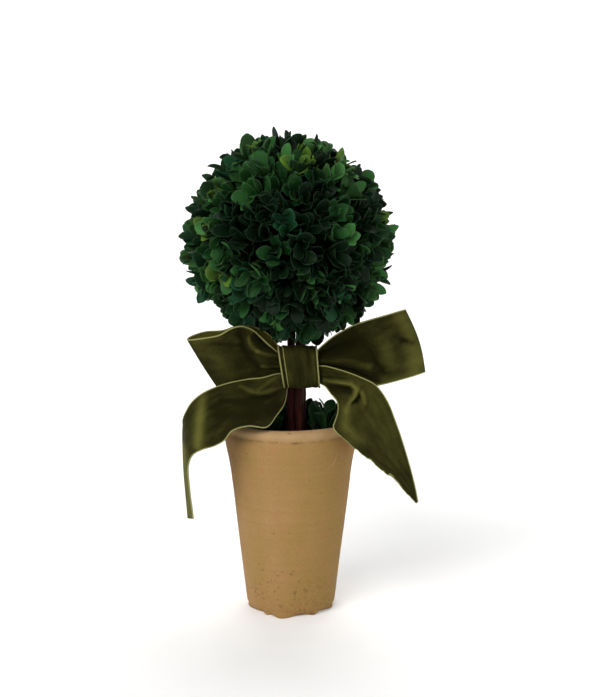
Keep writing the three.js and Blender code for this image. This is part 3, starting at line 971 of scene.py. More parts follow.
RIGHT_LOOP_CREASES = [
    [(21, 204.5, -3, 1.8), (26, 207, -6, 2.6), (34, 210.5, -7.5, 3.6)]
    + [(44, 215, -6, 4.6), (55, 220, -2.5, 6)],
    [(21, 200.5, 1.5, 2.2), (32, 203, 3.0, 3.2), (44, 206, 3.5, 3.8), (56, 209, 2.2, 5)],
    [(23, 198.5, 1.0, 1.8), (38, 199, 2.4, 3.0), (54, 197, 3.4, 3.6), (66, 192, 2.6, 3.6)],
    [(23, 196.4, -2.2, 1.3), (36, 196, -3.6, 1.6), (48, 194, -4.4, 1.9)]
    + [(58, 189, -4.0, 2.2), (67, 184, -2.0, 2.4)],
    [(55, 218, -0.8, 2.2), (60, 209, -2.4, 1.8), (66, 199, -2.8, 1.6), (72, 190.5, -2.2, 1.7)],
    [(74, 220, 1.6, 6), (77, 205, 2.4, 6), (80, 194, 1.6, 6)],
    [(83, 217, -1.6, 3.0), (89, 215.6, -3.2, 3.2), (94, 214, -2.4, 3.0)],
    [(88, 233, 1.6, 5), (96, 205, 2.2, 5)],
]

# %% [markdown]
# ### The loops' painted light
#
# Where the cloth stands out of a crease, a painted highlight makes it paler; down in a fold, painted shade
# makes it darker. The paths work as the creases do, with an amount of paleness in the place of the height.

# %% Loop painted light
LEFT_LOOP_PAINTED_LIGHT = [
    [(-70, 211, 0.12, 5), (-56, 203, 0.18, 5), (-45, 192, 0.12, 5)],
    [(-74, 215, 0.3, 2), (-54, 221, 0.2, 3)],
    [(-29, 225, 0.2, 1.2), (-31.5, 219, 0.35, 1.3), (-29.5, 213, 0.4, 1.4), (-25, 208.5, 0.45, 1.2)],
    [(-25, 208.5, 0.45, 1.2), (-17, 205.5, 0.35, 1.1), (-11, 204, 0.3, 1.0)],
    [(-22, 196, 0.3, 1), (-10, 195, 0.3, 1)],
    [(-12, 206, -0.3, 1.2), (-20, 211, -0.5, 2.4), (-27, 219, -0.5, 2.4)],
    [(-37, 222, -0.25, 3), (-34, 210, -0.3, 3), (-29, 201, -0.3, 2.6), (-24, 194, -0.3, 2)],
    [(-59, 215, -0.15, 1.2), (-47, 213.6, -0.2, 1.2), (-36, 213, -0.2, 1.2)],
]
RIGHT_LOOP_PAINTED_LIGHT = [
    [(72, 216, 0.22, 6), (76, 200, 0.25, 6)],
    [(84, 234, 0.5, 7), (92, 222, 0.5, 6), (97, 200, 0.65, 9)],
    [(24, 200, 0.25, 2), (44, 202, 0.3, 2.6), (60, 197, 0.35, 3)],
    [(62, 182, 0.3, 3), (96, 190, 0.5, 4)],
    [(22, 203, -0.25, 7), (40, 205, -0.3, 12), (58, 202, -0.26, 11), (70, 196, -0.1, 8)],
    [(22, 205, -0.4, 2), (34, 211, -0.5, 4), (48, 217, -0.4, 5)],
    [(85, 217, -0.4, 2.6), (93, 214, -0.4, 2.4)],
    [(25, 196.5, -0.3, 1.3), (44, 194.5, -0.4, 1.8), (58, 189, -0.4, 2.2), (67, 184, -0.3, 2.2)],
    [(57, 214, -0.2, 1.6), (63, 203, -0.3, 1.6), (70, 193, -0.3, 1.6)],
]


# %% Loops
def stations(groups):
    """One flat list of stations from a list of groups."""
    return [place for group in groups for place in group]


def loop_grid(upper, lower, creases, round_out):
    """A loop's sheet. round_out lets the middle of its far fold stand out sideways, as soft cloth does."""
    grid = loft(stations(upper), stations(lower), LOOP_ROWS, LOOP_COLUMNS)
    share = np.linspace(0, 1, LOOP_ROWS + 1)[:, None]
    across = np.linspace(0, 1, LOOP_COLUMNS + 1)[None, :]
    fold = np.exp(-(((share - 0.5) / 0.14) ** 2)) * np.sin(math.pi * across)
    grid[..., 0] += round_out * MM * fold
    front = np.clip((0.475 - share) / 0.05, 0, 1)  # runs out just before the fold
    hold = np.clip(share / 0.02, 0, 1)  # no crease at the knot, where the cloth is held
    return crease(grid, creases, front * hold)


loop_parts = {
    "left": (LEFT_LOOP_UPPER, LEFT_LOOP_LOWER, LEFT_LOOP_CREASES, -1.0, LEFT_LOOP_PAINTED_LIGHT),
    "right": (RIGHT_LOOP_UPPER, RIGHT_LOOP_LOWER, RIGHT_LOOP_CREASES, 2.8, RIGHT_LOOP_PAINTED_LIGHT),
}
bow = []
for side, (upper, lower, creases, round_out, nap) in loop_parts.items():
    grid = loop_grid(upper, lower, creases, round_out)
    loop = ribbon_object("velvet_loop_" + side, grid, nap)
    bow.append(finish_piece(loop, "velvet", "bow_loop_" + side))
    cords("selvedge_loop_" + side, [grid[:, 0], grid[:, -1]], "bow_loop_" + side)

# %% [markdown]
# ### The tails
#
# The left tail runs out over the pot's lip, turns back at its far end and hangs down beside the pot, so
# from in front we see it edge on. The right tail drops forward and ends in the usual slanting cut. The
# lower stations of the right tail follow its selvedge first and then, past the corner, the cut.

# %% Tail stations
TAIL_ROWS, TAIL_COLUMNS = 200, 72
CORNER = 7  # the station at which the right tail's lower edge becomes its cut

LEFT_TAIL_UPPER = [
    ((-6, -20, 190), (-12, -25, 190), (-21, -32, 188.5), (-33, -38, 188), (-44, -42, 186.5)),
    ((-56, -46, 183.5), (-66, -48.5, 179), (-74, -48, 172), (-79, -45, 163.5), (-81.5, -38, 157)),
    ((-82.6, -27, 151), (-84.2, -14, 143), (-85.2, -4, 131), (-84.9, 0, 106), (-82.0, -2, 70.5)),
]
LEFT_TAIL_LOWER = [
    ((-2.6, -19, 179.5), (-4.8, -27, 168), (-11, -38, 160), (-18, -48.5, 153.5), (-31, -53.5, 155.4)),
    ((-43, -56, 152.5), (-49.5, -56.5, 145), (-57, -56, 140.8), (-66, -53.5, 137.5), (-74, -47, 131.5)),
    ((-77.6, -43, 122), (-77.6, -40, 110), (-76.8, -38, 98), (-75.8, -37, 89), (-74.8, -37, 79.5)),
]
LEFT_TAIL_CREASES = [
    [(-40, 186, 1.0, 2.6), (-32, 181, 2.4, 2.2), (-24, 178, 2.8, 1.9)]
    + [(-16, 178, 2.6, 1.8), (-8, 181, 1.6, 1.6)],
    [(-52, 174, -0.6, 2.6), (-38, 173, -2.0, 2.8), (-24, 174, -3.4, 2.4)]
    + [(-15, 174.5, -3.6, 2.0), (-8, 175.5, -2, 1.6)],
    [(-30, 186, -1.0, 2.4), (-20, 184, -2.0, 2.2), (-11, 186, -1.4, 2.0)],
    [(-12, 186.8, 1.0, 1.4), (-20, 182, 1.4, 1.6), (-24, 179, 1.0, 1.6)],
    [(-30, 166, -1.0, 4), (-18, 160, -2.0, 3.5), (-12, 165, -1.5, 3)],
    [(-60, 176, 2.0, 8), (-62, 150, 2.4, 8)],
]
RIGHT_TAIL_UPPER = [
    ((21.5, -21, 196), (28, -26, 196.2), (43, -34, 193), (56, -39, 188.5), (64, -42, 184.5)),
    ((70, -44, 177.5), (75, -45.5, 168.5), (79, -46.5, 158), (83.3, -47, 146), (88, -46.5, 131)),
    ((92, -45.5, 117), (95, -44.5, 105), (97, -43.5, 94.5)),
]
RIGHT_TAIL_LOWER = [
    ((21.5, -19, 183), (26.5, -26, 181), (31, -34, 176.5), (35.5, -42, 172), (36.2, -47.5, 166)),
    ((34.2, -52.5, 160), (32.5, -55.5, 155.5), (34.5, -56.5, 151.5), (42, -56.5, 145), (54, -55.5, 134.5)),
    ((68, -53, 122.5), (82, -48.5, 109), (96, -43.8, 93.8)),
]
RIGHT_TAIL_CREASES = [
    [(26, 185.5, 1.4, 1.2), (38, 185.3, 3.2, 1.4), (46, 185, 4.2, 1.5), (50.5, 181.5, 4.4, 1.5)]
    + [(48.5, 176.5, 4.0, 1.5), (44.5, 171.5, 2.8, 1.8), (41.5, 166, 1.4, 2.4)],
    [(28, 181, -2.0, 1.8), (35, 180.2, -5.0, 2.5), (44, 180, -5.0, 2.6)],
    [(46.5, 171.5, -2.0, 1.6), (50, 173.2, -4.0, 1.9), (52, 176, -2.6, 1.6)],
    [(53.5, 182, 1.0, 1.6), (56.3, 175, 2.8, 1.7), (55, 168, 1.6, 2.0)],
    [(26, 190.5, 1.2, 1.6), (38, 190, 1.8, 2.0), (50, 187.5, 1.0, 2.4)],
    [(26, 187.8, -1.6, 1.2), (36, 187.7, -1.8, 1.3), (44, 187.8, -1.0, 1.4)],
    [(40, 162, 2.4, 6), (50, 148, 2.0, 7)],
    [(66, 165, -1.0, 8), (78, 130, -1.4, 8)],
]

# %% Tail painted light
LEFT_TAIL_PAINTED_LIGHT = [
    [(-65, 179, 0.4, 3.4), (-67.5, 160, 0.95, 3.8), (-69.5, 140, 0.85, 4.0)],
    [(-84, 130, 0.8, 6), (-79, 78, 0.75, 6)],
    [(-24, 187, 0.14, 5), (-10, 186, 0.14, 4)],
    [(-7, 190, 0.3, 1.2), (-16, 185, 0.3, 1.4), (-24, 180, 0.25, 1.4)],
    [(-38, 184, 0.2, 1.4), (-30, 180, 0.3, 1.4), (-22, 177.8, 0.35, 1.3), (-8, 180, 0.25, 1.2)],
    [(-52, 173.5, -0.2, 1.6), (-36, 172, -0.35, 1.8), (-22, 173.5, -0.4, 1.8), (-12, 175.5, -0.4, 1.6)],
    [(-54, 165, -0.15, 6), (-30, 163, -0.2, 7)],
    [(-24, 165, -0.12, 5), (-12, 166, -0.24, 5)],
]
RIGHT_TAIL_PAINTED_LIGHT = [
    [(26, 185.5, 0.4, 1.3), (38, 185.5, 0.6, 1.3), (46, 185, 0.8, 1.5), (50.3, 181.5, 0.9, 1.5)],
    [(50.3, 181.5, 0.9, 1.5), (48, 176, 0.7, 1.4), (44, 171, 0.5, 1.6), (42, 166, 0.4, 2)],
    [(42, 167, 0.35, 5), (41, 156, 0.5, 5), (50, 146, 0.3, 6)],
    [(54, 179, 0.5, 1.4), (56, 172, 0.45, 1.4)],
    [(56, 184, 0.2, 16), (68, 160, 0.2, 16), (80, 130, 0.14, 14)],
    [(29, 181, -0.4, 1.6), (36, 180.5, -0.6, 2.2), (44.5, 180, -0.6, 2.2)],
    [(46.5, 171.5, -0.4, 1.5), (50, 173, -0.7, 1.7), (52, 175.5, -0.5, 1.5)],
]

# %% Tails
SNAG_FROM, SNAG_TO = 0.68, 0.88  # a snag in the slanting cut, two thirds of the way down it
SNAG_DEPTH = 11
corner_row = round(TAIL_ROWS * CORNER / (len(stations(RIGHT_TAIL_LOWER)) - 1))


def tail_grid(upper, lower, creases):
    return crease(loft(stations(upper), stations(lower), TAIL_ROWS, TAIL_COLUMNS), creases)


def fray(grid):
    """Makes the right tail's cut ragged, most of all at the edge itself."""
    fade = np.linspace(0, 1, TAIL_COLUMNS + 1)[:, None] ** 12
    for r in range(corner_row, TAIL_ROWS + 1):
        run = (r - corner_row) / (TAIL_ROWS - corner_row)
        ragged = 0.5 * noise.noise(Vector((run * 34, 0, 0))) + 0.9 * noise.noise(Vector((run * 9, 5, 0)))
        if SNAG_FROM < run < SNAG_TO:
            ragged += SNAG_DEPTH * (SNAG_TO - run)
        grid[r] += fade * mm((0.65 * ragged, 0, 0.75 * ragged)) * min(1, 6 * run, 6 * (1 - run))


left_grid = tail_grid(LEFT_TAIL_UPPER, LEFT_TAIL_LOWER, LEFT_TAIL_CREASES)
tail = ribbon_object("velvet_tail_left", left_grid, LEFT_TAIL_PAINTED_LIGHT)
bow.append(finish_piece(tail, "velvet", "bow_tail_left", "bow_tail_left_end"))
right_grid = tail_grid(RIGHT_TAIL_UPPER, RIGHT_TAIL_LOWER, RIGHT_TAIL_CREASES)
fray(right_grid)
tail = ribbon_object("velvet_tail_right", right_grid, RIGHT_TAIL_PAINTED_LIGHT)
bow.append(finish_piece(tail, "velvet", "bow_tail_right"))
cords("selvedge_tail_left", [left_grid[:, 0], left_grid[:, -1]], "bow_tail_left")
cords("selvedge_tail_right", [right_grid[:, 0], right_grid[: corner_row + 1, -1]], "bow_tail_right")
cords("frayed_cut_right", [right_grid[corner_row:, -1]], "bow_tail_right", 0.48)

# %% [markdown]
# ### The knot and the band
#
# The turn over the middle is the same ribbon, gathered lengthwise: a soft barrel whose two edges curl
# outwards, with one edge tucked double on the left. We walk round the barrel in rows and across it in
# columns, and lift each column by a given amount. Behind the knot the ribbon goes once round the
# stems.

# %% Knot
KNOT_ROWS, KNOT_COLUMNS = 144, 100
KNOT_LEFT = (-9.6, -4.6)  # its left edge's x, at the knot's top and bottom
KNOT_RIGHT = (19.8, 22.4)
KNOT_MIDDLE = (-18.2, 195.0)  # y and z
KNOT_HALF = (7.6, 15.6)  # half its depth and half its height
BOXY = 0.72  # below 1, the barrel's section is squarer than a circle
TUCK = 0.12  # how far across the knot the doubled edge lies
# How far across the knot, and how far the cloth stands out there, in millimetres
KNOT_SHAPE = [(0, 1.3), (0.035, 0.3), (0.075, -1.3), (0.12, 0.7), (0.17, 0.5), (0.27, -0.3), (0.38, 0.4)]
KNOT_SHAPE += [(0.52, -0.5), (0.66, 0.3), (0.80, -0.4), (0.90, 0.3), (0.965, -0.5), (1, 1.0)]


def knot_grid():
    share, lift = np.array(KNOT_SHAPE).T
    grid = np.zeros((KNOT_ROWS + 1, KNOT_COLUMNS + 1, 3))
    for r in range(KNOT_ROWS + 1):
        turn = math.tau * r / KNOT_ROWS + math.pi
        s, c = math.sin(turn), math.cos(turn)
        out_y, out_z = math.copysign(abs(c) ** BOXY, c), math.copysign(abs(s) ** BOXY, s)
        drop = (1 - out_z) / 2
        left = KNOT_LEFT[0] + (KNOT_LEFT[1] - KNOT_LEFT[0]) * drop
        right = KNOT_RIGHT[0] + (KNOT_RIGHT[1] - KNOT_RIGHT[0]) * drop
        for k in range(KNOT_COLUMNS + 1):
            v = k / KNOT_COLUMNS
            wave = 0.35 * math.sin(9 * v + 2.2 * out_z) * math.sin(math.pi * v)
            grow = np.interp(v, share, lift) + wave + 0.9 * math.sin(math.pi * v)
            y = KNOT_MIDDLE[0] - (KNOT_HALF[0] + grow) * out_y
            z = KNOT_MIDDLE[1] + (KNOT_HALF[1] + grow * 0.6) * out_z
            grid[r, k] = mm((left + (right - left) * v, y, z))
    return grid


def band_grid(rows=120, columns=52):
    """The ribbon that goes round the stems, pleated along its length and open in front, behind the knot."""
    low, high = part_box("bow_band")
    middle_x, middle_y = (low.x + high.x) / 2, high.y - (high.x - low.x) / 2
    radius = (high.x - low.x) / 2 - 1.2 * MM
    grid = np.zeros((rows + 1, columns + 1, 3))
    for r in range(rows + 1):
        turn = math.radians(-62 + 304 * r / rows)
        for k in range(columns + 1):
            v = k / columns
            pleat = 0.9 * math.sin(v * 17 + 0.5 * math.sin(2 * turn)) + 0.5 * math.sin(v * 31)
            reach = radius + pleat * MM
            sag = 1.5 * MM * math.cos(turn * 2)
            z = low.z + (high.z - low.z) * v + sag * (0.5 - v)
            grid[r, k] = (middle_x + reach * math.cos(turn), middle_y + reach * math.sin(turn), z)
    return grid


grid = knot_grid()
# Painted highlights along the knot's two edges.
knot_painted_light = [[(-3, 205, 0.12, 4), (-2, 185, 0.1, 4)], [(18, 205, 0.15, 3), (20, 186, 0.15, 3)]]
knot = ribbon_object("velvet_knot", grid, knot_painted_light, back=False)
bow.append(finish_piece(knot, "velvet", "bow_knot"))
tuck = round(KNOT_COLUMNS * TUCK)
cords("selvedge_knot", [grid[:, 0], grid[:, -1]], "bow_knot", 0.6)
cords("selvedge_knot_tuck", [grid[36:110, tuck] - mm((0, 0.45, 0))], "bow_knot", 0.3)
grid = band_grid()
band = ribbon_object("velvet_band", grid, back=False)
bow.append(finish_piece(band, "velvet", "bow_band"))
cords("selvedge_band", [grid[:, 0], grid[:, -1]], "bow_band")

# %% [markdown]
# ## Box leaves
#
# A box leaf is a small spoon: a narrow base, a round tip, a slight fold along the midrib and a thick,
# pale edge that catches the light. There will be thousands, so one leaf has only a few dozen faces: a
# face above, a coarser one below, and a strip round the rim. The three parts are told apart by a number
# on each face, so that each can have its own plain green.

# %% One leaf
# Where each row stands along the leaf, and how wide the leaf is there
LEAF_ROWS = [(0.0, 0.12), (0.22, 0.38), (0.45, 0.76), (0.65, 0.99), (0.80, 0.93), (0.92, 0.68), (1.0, 0.30)]
LEAF_TOP = [-1.0, -0.88, -0.45, 0.0, 0.45, 0.88, 1.0]  # the columns across it, above and below
LEAF_UNDER = [-1.0, -0.4, 0.4, 1.0]
LEAF_THICK = 0.5
FACE, RIM, UNDERSIDE = 0, 1, 2


def leaf(base, along, facing, length, width, curl, cup):
    """A leaf's points, in millimetres. It starts at base, runs along, faces facing, and bends by curl."""
    side = np.cross(along, facing)
    points = []
    for columns, down in ((LEAF_TOP, 0.0), (LEAF_UNDER, LEAF_THICK)):
        for u, swell in LEAF_ROWS:
            bend = curl * u
            reach = length * (math.sin(bend) / curl if abs(curl) > 1e-3 else u)
            fall = length * ((1 - math.cos(bend)) / curl if abs(curl) > 1e-3 else 0.0)
            normal = math.sin(bend) * along + math.cos(bend) * facing
            forward = math.cos(bend) * along - math.sin(bend) * facing
            half = width / 2 * swell
            for v in columns:
                tip = 0.03 * length * (1 - v * v) if u == 1.0 else 0.0
                fold = cup * half * v * v + 0.25 * swell * abs(v) - down * (1 - 0.5 * abs(v))
                middle = base + reach * along - fall * facing
                points.append(middle + half * v * side + fold * normal + tip * forward)
    return points


def leaf_faces():
    """The faces of a leaf and the part that each belongs to."""
    top, under, count = len(LEAF_TOP), len(LEAF_UNDER), len(LEAF_ROWS)
    start = top * count
    faces, parts = [], []
    for r in range(count - 1):
        for c in range(top - 1):
            a = r * top + c
            faces.append((a, a + 1, a + top + 1, a + top))
            parts.append(RIM if c in (0, top - 2) else FACE)
        for c in range(under - 1):
            a = start + r * under + c
            faces.append((a, a + under, a + under + 1, a + 1))
            parts.append(UNDERSIDE)
        left, left_under = r * top, start + r * under
        right, right_under = left + top - 1, left_under + under - 1
        faces.append((left, left + top, left_under + under, left_under))
        faces.append((right, right_under, right_under + under, right + top))
        parts += [RIM, RIM]
    for row in (0, count - 1):
        above = [row * top + c for c in range(top)]
        below = [start + row * under + c for c in range(under)]
        faces.append(tuple(above[::-1] + below) if row == 0 else tuple(above + below[::-1]))
        parts.append(RIM)
    return faces, parts


LEAF_FACES, LEAF_PARTS = leaf_faces()
LEAF_POINTS = (len(LEAF_TOP) + len(LEAF_UNDER)) * len(LEAF_ROWS)
print("a leaf has", len(LEAF_FACES), "faces")

# %% [markdown]
# ## Sprays
#
# Box carries its leaves in opposite pairs, each pair a quarter turn from the last and held closer to the
# twig towards its tip, and now and then a side shoot grows from a pair's axil and does the same. That
# rule and a seed make a spray. We grow a dozen, all different, and keep leaves and twigs as separate
# meshes, because they are different stuff.

# %% Grow the sprays
SPRAYS = 12
MAIN_PAIRS = [(2.5, 24), (7.0, 17), (11.0, 10)]  # height up the twig, and how far a leaf leans out
SIDE_PAIRS = [(4.0, 17), (7.0, 9)]


def unit(vector):
    return vector / np.linalg.norm(vector)


def across_of(direction):
    """Two directions square to one another and to the given one."""
    first = unit(np.cross(direction, (0.31, 0.95, 0.11)))
    return first, np.cross(direction, first)


def add_leaf(spray, rng, base, direction, around, splay):
    """A leaf that leans out from its twig's direction by splay degrees, its upper face towards the twig."""
    first, second = across_of(direction)
    outwards = math.cos(around) * first + math.sin(around) * second
    lean = math.radians(splay + rng.uniform(-9, 11))
    along = math.sin(lean) * outwards + math.cos(lean) * direction
    facing = math.cos(lean) * -outwards + math.sin(lean) * direction
    twist = math.radians(rng.gauss(0, 24))
    facing = unit(math.cos(twist) * facing + math.sin(twist) * np.cross(along, facing))
    length = rng.uniform(18.5, 25.5)
    width = length * rng.uniform(0.38, 0.56)
    start = len(spray["leaf_points"])
    curl, cup = rng.uniform(-0.2, 0.75), rng.uniform(-0.1, 0.35)
    spray["leaf_points"] += leaf(base + outwards * 0.5, along, facing, length, width, curl, cup)
    spray["leaf_faces"] += [tuple(start + k for k in face) for face in LEAF_FACES]
    spray["leaf_parts"] += LEAF_PARTS


def add_twig(spray, base, direction, length, thick):
    first, second = across_of(direction)
    start = len(spray["twig_points"])
    sides = 5
    for share, radius in ((0, thick), (0.5, thick * 0.85), (1, thick * 0.45)):
        for k in range(sides):
            turn = k * math.tau / sides
            ring = math.cos(turn) * first + math.sin(turn) * second
            spray["twig_points"].append(base + direction * length * share + ring * radius)
    foot, tip = end_faces(3, sides)
    faces = [*grid_faces(3, sides, wrap=True), foot[::-1], tip]
    spray["twig_faces"] += [tuple(start + k for k in face) for face in faces]


def grow(spray, rng, base, direction, pairs, may_branch):
    """Grows a twig from base, with its pairs of leaves, and perhaps a side shoot from one of the axils."""
    turn = rng.uniform(0, math.pi)
    add_twig(spray, base, direction, pairs[-1][0] + 1, 0.75 if may_branch else 0.5)
    branch_at = rng.randrange(2)
    for number, (height, splay) in enumerate(pairs):
        node = base + direction * height
        for half in (0, math.pi):
            around = turn + number * math.pi / 2 + half + rng.uniform(-0.3, 0.3)
            add_leaf(spray, rng, node, direction, around, splay)
        if may_branch and number == branch_at:
            first, second = across_of(direction)
            outwards = math.cos(turn) * first + math.sin(turn) * second
            grow(spray, rng, node, unit(direction + 0.55 * outwards), SIDE_PAIRS, False)


leaf_sprays = bpy.data.collections.new("leaf_sprays")
twig_sprays = bpy.data.collections.new("twig_sprays")
for collection in (leaf_sprays, twig_sprays):
    bpy.context.scene.collection.children.link(collection)
STUFF = ("leaf_points", "leaf_faces", "leaf_parts", "twig_points", "twig_faces")
UP = np.array((0, 0, 1.0))
for number in range(SPRAYS):
    spray = {key: [] for key in STUFF}
    grow(spray, random.Random(100 + number), np.zeros(3), UP, MAIN_PAIRS, number % 2 == 0)
    mesh = mesh_from("spray_%02d" % number, mm(spray["leaf_points"]), spray["leaf_faces"])
    layer = mesh.attributes.new("part", "INT", "FACE")
    layer.data.foreach_set("value", spray["leaf_parts"])
    leaf_sprays.objects.link(bpy.data.objects.new(mesh.name, mesh))
    mesh = mesh_from("twig_%02d" % number, mm(spray["twig_points"]), spray["twig_faces"])
    twig_sprays.objects.link(bpy.data.objects.new(mesh.name, mesh))
    print("spray", number, len(spray["leaf_points"]) // LEAF_POINTS, "leaves")

# %% [markdown]
# ## Setting the sprays into the foam
#
# A grower pushes short sprays into a ball of foam until none of it shows. The tree below does the same,
# in four steps. First it scatters points a set distance apart over the core, and takes only those whose
# draw falls in this piece's share, so that several pieces in different greens share one scatter. A stored
# value shifts the draw, which lets some sides of the ball be paler than others, partly as painted light,
# and the front darker as painted shade.


# %% Scattering
def live(sockets):
    """The sockets that a node shows for its present type of data."""
    return [socket for socket in sockets if socket.enabled]


def chance(tree, low, high, seed, kind="FLOAT"):
    """A random value for each point, between low and high."""
    node = add_node(tree, "FunctionNodeRandomValue", {"data_type": kind}, Seed=seed)
    for socket, value in zip(live(node.inputs), (low, high)):
        feed(tree, socket, value)
    return live(node.outputs)[0]


def compared(tree, operation, first, second, kind="FLOAT"):
    node = add_node(tree, "FunctionNodeCompare", {"data_type": kind, "operation": operation})
    for socket, value in zip(live(node.inputs), (first, second)):
        feed(tree, socket, value)
    return node.outputs[0]


def stored(tree, name, kind):
    """A value that the mesh carries under a name."""
    return live(add_node(tree, "GeometryNodeInputNamedAttribute", {"data_type": kind}, Name=name).outputs)[0]


def scattered(tree, given):
    """The scatter's own node, and which of its points this piece plants."""
    points = add_node(tree, "GeometryNodeDistributePointsOnFaces", {"distribute_method": "POISSON"})
    for socket, label in (("Mesh", "Geometry"), ("Distance Min", "Spacing"), ("Seed", "Seed")):
        feed(tree, points.inputs[socket], given[label])
    points.inputs["Density Max"].default_value = 200000.0
    # The stored shift is partly painted light and painted shade.
    draw = maths(tree, "ADD", chance(tree, 0.0, 1.0, 1), stored(tree, "sunned", "FLOAT"))
    share = add_node(tree, "FunctionNodeBooleanMath", {"operation": "AND"})
    feed(tree, share.inputs[0], compared(tree, "GREATER_EQUAL", draw, given["Share From"]))
    feed(tree, share.inputs[1], compared(tree, "LESS_THAN", draw, given["Share To"]))
    return points, share.outputs[0]


# %% [markdown]
# ### Planting
#
# Next it stands one of the dozen sprays on each point. The spray is turned along the point's normal,
# leans a little to any side, is spun by any amount and is larger or smaller by chance.


# %% Planting
def leaning(tree, given, upright):
    """A rotation that leans and spins from the upright one."""
    turn = add_node(tree, "ShaderNodeCombineXYZ")
    other_way = times(tree, given["Lean"], -1.0)
    feed(tree, turn.inputs[0], chance(tree, other_way, given["Lean"], 2))
    feed(tree, turn.inputs[1], chance(tree, other_way, given["Lean"], 3))
    feed(tree, turn.inputs[2], chance(tree, 0.0, math.tau, 4))
    turned = add_node(tree, "FunctionNodeRotateRotation", {"rotation_space": "LOCAL"})
    feed(tree, turned.inputs[0], upright)
    feed(tree, turned.inputs[1], turn.outputs[0])
    return turned.outputs[0]


def planted(tree, given, points, chosen):
    """Sprays, as one mesh, on the chosen points."""
    kinds = add_node(tree, "GeometryNodeCollectionInfo", Collection=given["Sprays"], Separate_Children=True)
    last_kind = maths(tree, "SUBTRACT", given["Kinds"], 1.0)
    placed = add_node(tree, "GeometryNodeInstanceOnPoints", Selection=chosen, Pick_Instance=True)
    feed(tree, placed.inputs["Points"], points.outputs["Points"])
    feed(tree, placed.inputs["Instance"], kinds.outputs[0])
    feed(tree, placed.inputs["Instance Index"], chance(tree, 0, last_kind, 5, "INT"))
    feed(tree, placed.inputs["Rotation"], leaning(tree, given, points.outputs["Rotation"]))
    feed(tree, placed.inputs["Scale"], chance(tree, given["Smallest"], given["Largest"], 6))
    return add_node(tree, "GeometryNodeRealizeInstances", Geometry=placed.outputs[0]).outputs[0]


# %% [markdown]
# ### Clearing and colouring
#
# Then it drops every leaf that would cut into the ribbon or the stems. A leaf is one island of the mesh,
# so the tree counts how many of each island's points come too close, and takes off the islands where any
# do. Cutting the leaves off at the ribbon with a boolean would leave sliced edges; a real leaf is either
# there or not. Last, each face gets the green of its part of the leaf.


# %% Clearing and colouring
def cleared(tree, given, made):
    """What has been made, without the leaves that come too close to an obstacle."""
    obstacle = add_node(tree, "GeometryNodeObjectInfo", Object=given["Keep Clear Of"])
    nearness = add_node(tree, "GeometryNodeProximity")
    feed(tree, nearness.inputs[0], obstacle.outputs["Geometry"])
    close = compared(tree, "LESS_THAN", nearness.outputs["Distance"], given["Clearance"])
    count = add_node(tree, "GeometryNodeAccumulateField", {"data_type": "INT", "domain": "POINT"})
    feed(tree, live(count.inputs)[0], close)
    island = tree.nodes.new("GeometryNodeInputMeshIsland").outputs["Island Index"]
    feed(tree, count.inputs["Group ID"], island)
    total = live(count.outputs)[2]
    kept = add_node(tree, "GeometryNodeDeleteGeometry", {"domain": "POINT"}, Geometry=made)
    feed(tree, kept.inputs["Selection"], compared(tree, "GREATER_THAN", total, 0, "INT"))
    return kept.outputs[0]


def painted(tree, given, made):
    part = stored(tree, "part", "INT")
    for number, label in ((FACE, "Face"), (RIM, "Rim"), (UNDERSIDE, "Underside")):
        node = add_node(tree, "GeometryNodeSetMaterial", Geometry=made, Material=given[label])
        feed(tree, node.inputs["Selection"], compared(tree, "EQUAL", part, number, "INT"))
        made = node.outputs[0]
    return made


PLANTING_INPUTS = [("Geometry", "Geometry"), ("Sprays", "Collection"), ("Keep Clear Of", "Object")]
PLANTING_INPUTS += [(name, "Int") for name in ("Kinds", "Seed")]
PLANTING_INPUTS += [(name, "Float") for name in ("Spacing", "Lean", "Smallest", "Largest", "Clearance")]
PLANTING_INPUTS += [(name, "Float") for name in ("Share From", "Share To")]
PLANTING_INPUTS += [(name, "Material") for name in ("Face", "Rim", "Underside")]
planting, given, out = new_tree("planting", PLANTING_INPUTS)
points, chosen = scattered(planting, given)
made = planted(planting, given, points, chosen)
feed(planting, out, painted(planting, given, cleared(planting, given, made)))
print("planting tree", len(planting.nodes), "nodes")

# %% [markdown]
# ### What the leaves keep clear of
#
# One mesh stands for everything that a leaf mustn't cut: the bow, the stems and, for the leaves at the
# foot, the pot. It is made from the finished pieces and removed once the planting is done. The left loop
# has a few more copies before it, so that no leaf of the ball hangs down in front of it.

# %% Obstacles
COPIES_BEFORE = 4
APART = 7


def joined_copy(name, pieces, in_front=()):
    """One mesh of several pieces. Those in in_front are copied forwards a few times as well."""
    view = bpy.context.evaluated_depsgraph_get()
    work = bmesh.new()
    for piece in pieces:
        mesh = bpy.data.meshes.new_from_object(piece.evaluated_get(view), depsgraph=view)
        work.from_mesh(mesh)
        for _ in range(COPIES_BEFORE if piece in in_front else 0):
            mesh.transform(Matrix.Translation(mm((0, -APART, 0))))
            work.from_mesh(mesh)
        bpy.data.meshes.remove(mesh)
    mesh = bpy.data.meshes.new(name)
    work.to_mesh(mesh)
    work.free()
    print(name, len(mesh.polygons), "faces")
    return add_object(name, mesh)


around_ball = joined_copy("around_ball", bow + stems, [bow[0]])
around_foot = joined_copy("around_foot", bow + stems + [pot])

# %% [markdown]
# ### Greens
#
# Preserved box is dyed, so most of it is deep green, with some sprays that took the dye darker, bluer, or
# hardly at all. A leaf is too small for a pattern: its face, its rim, painted pale as a highlight, and its
# duller underside are plain colours, dealt out by the spray. The surface has the soft shine of glycerine.


# %% Leaf materials
def leaf_green(name, rgb, roughness):
    constants = {"Base_Color": (*rgb, 1.0), "Specular_IOR_Level": 0.1}
    return new_material(name, Roughness=roughness, **constants)[0]
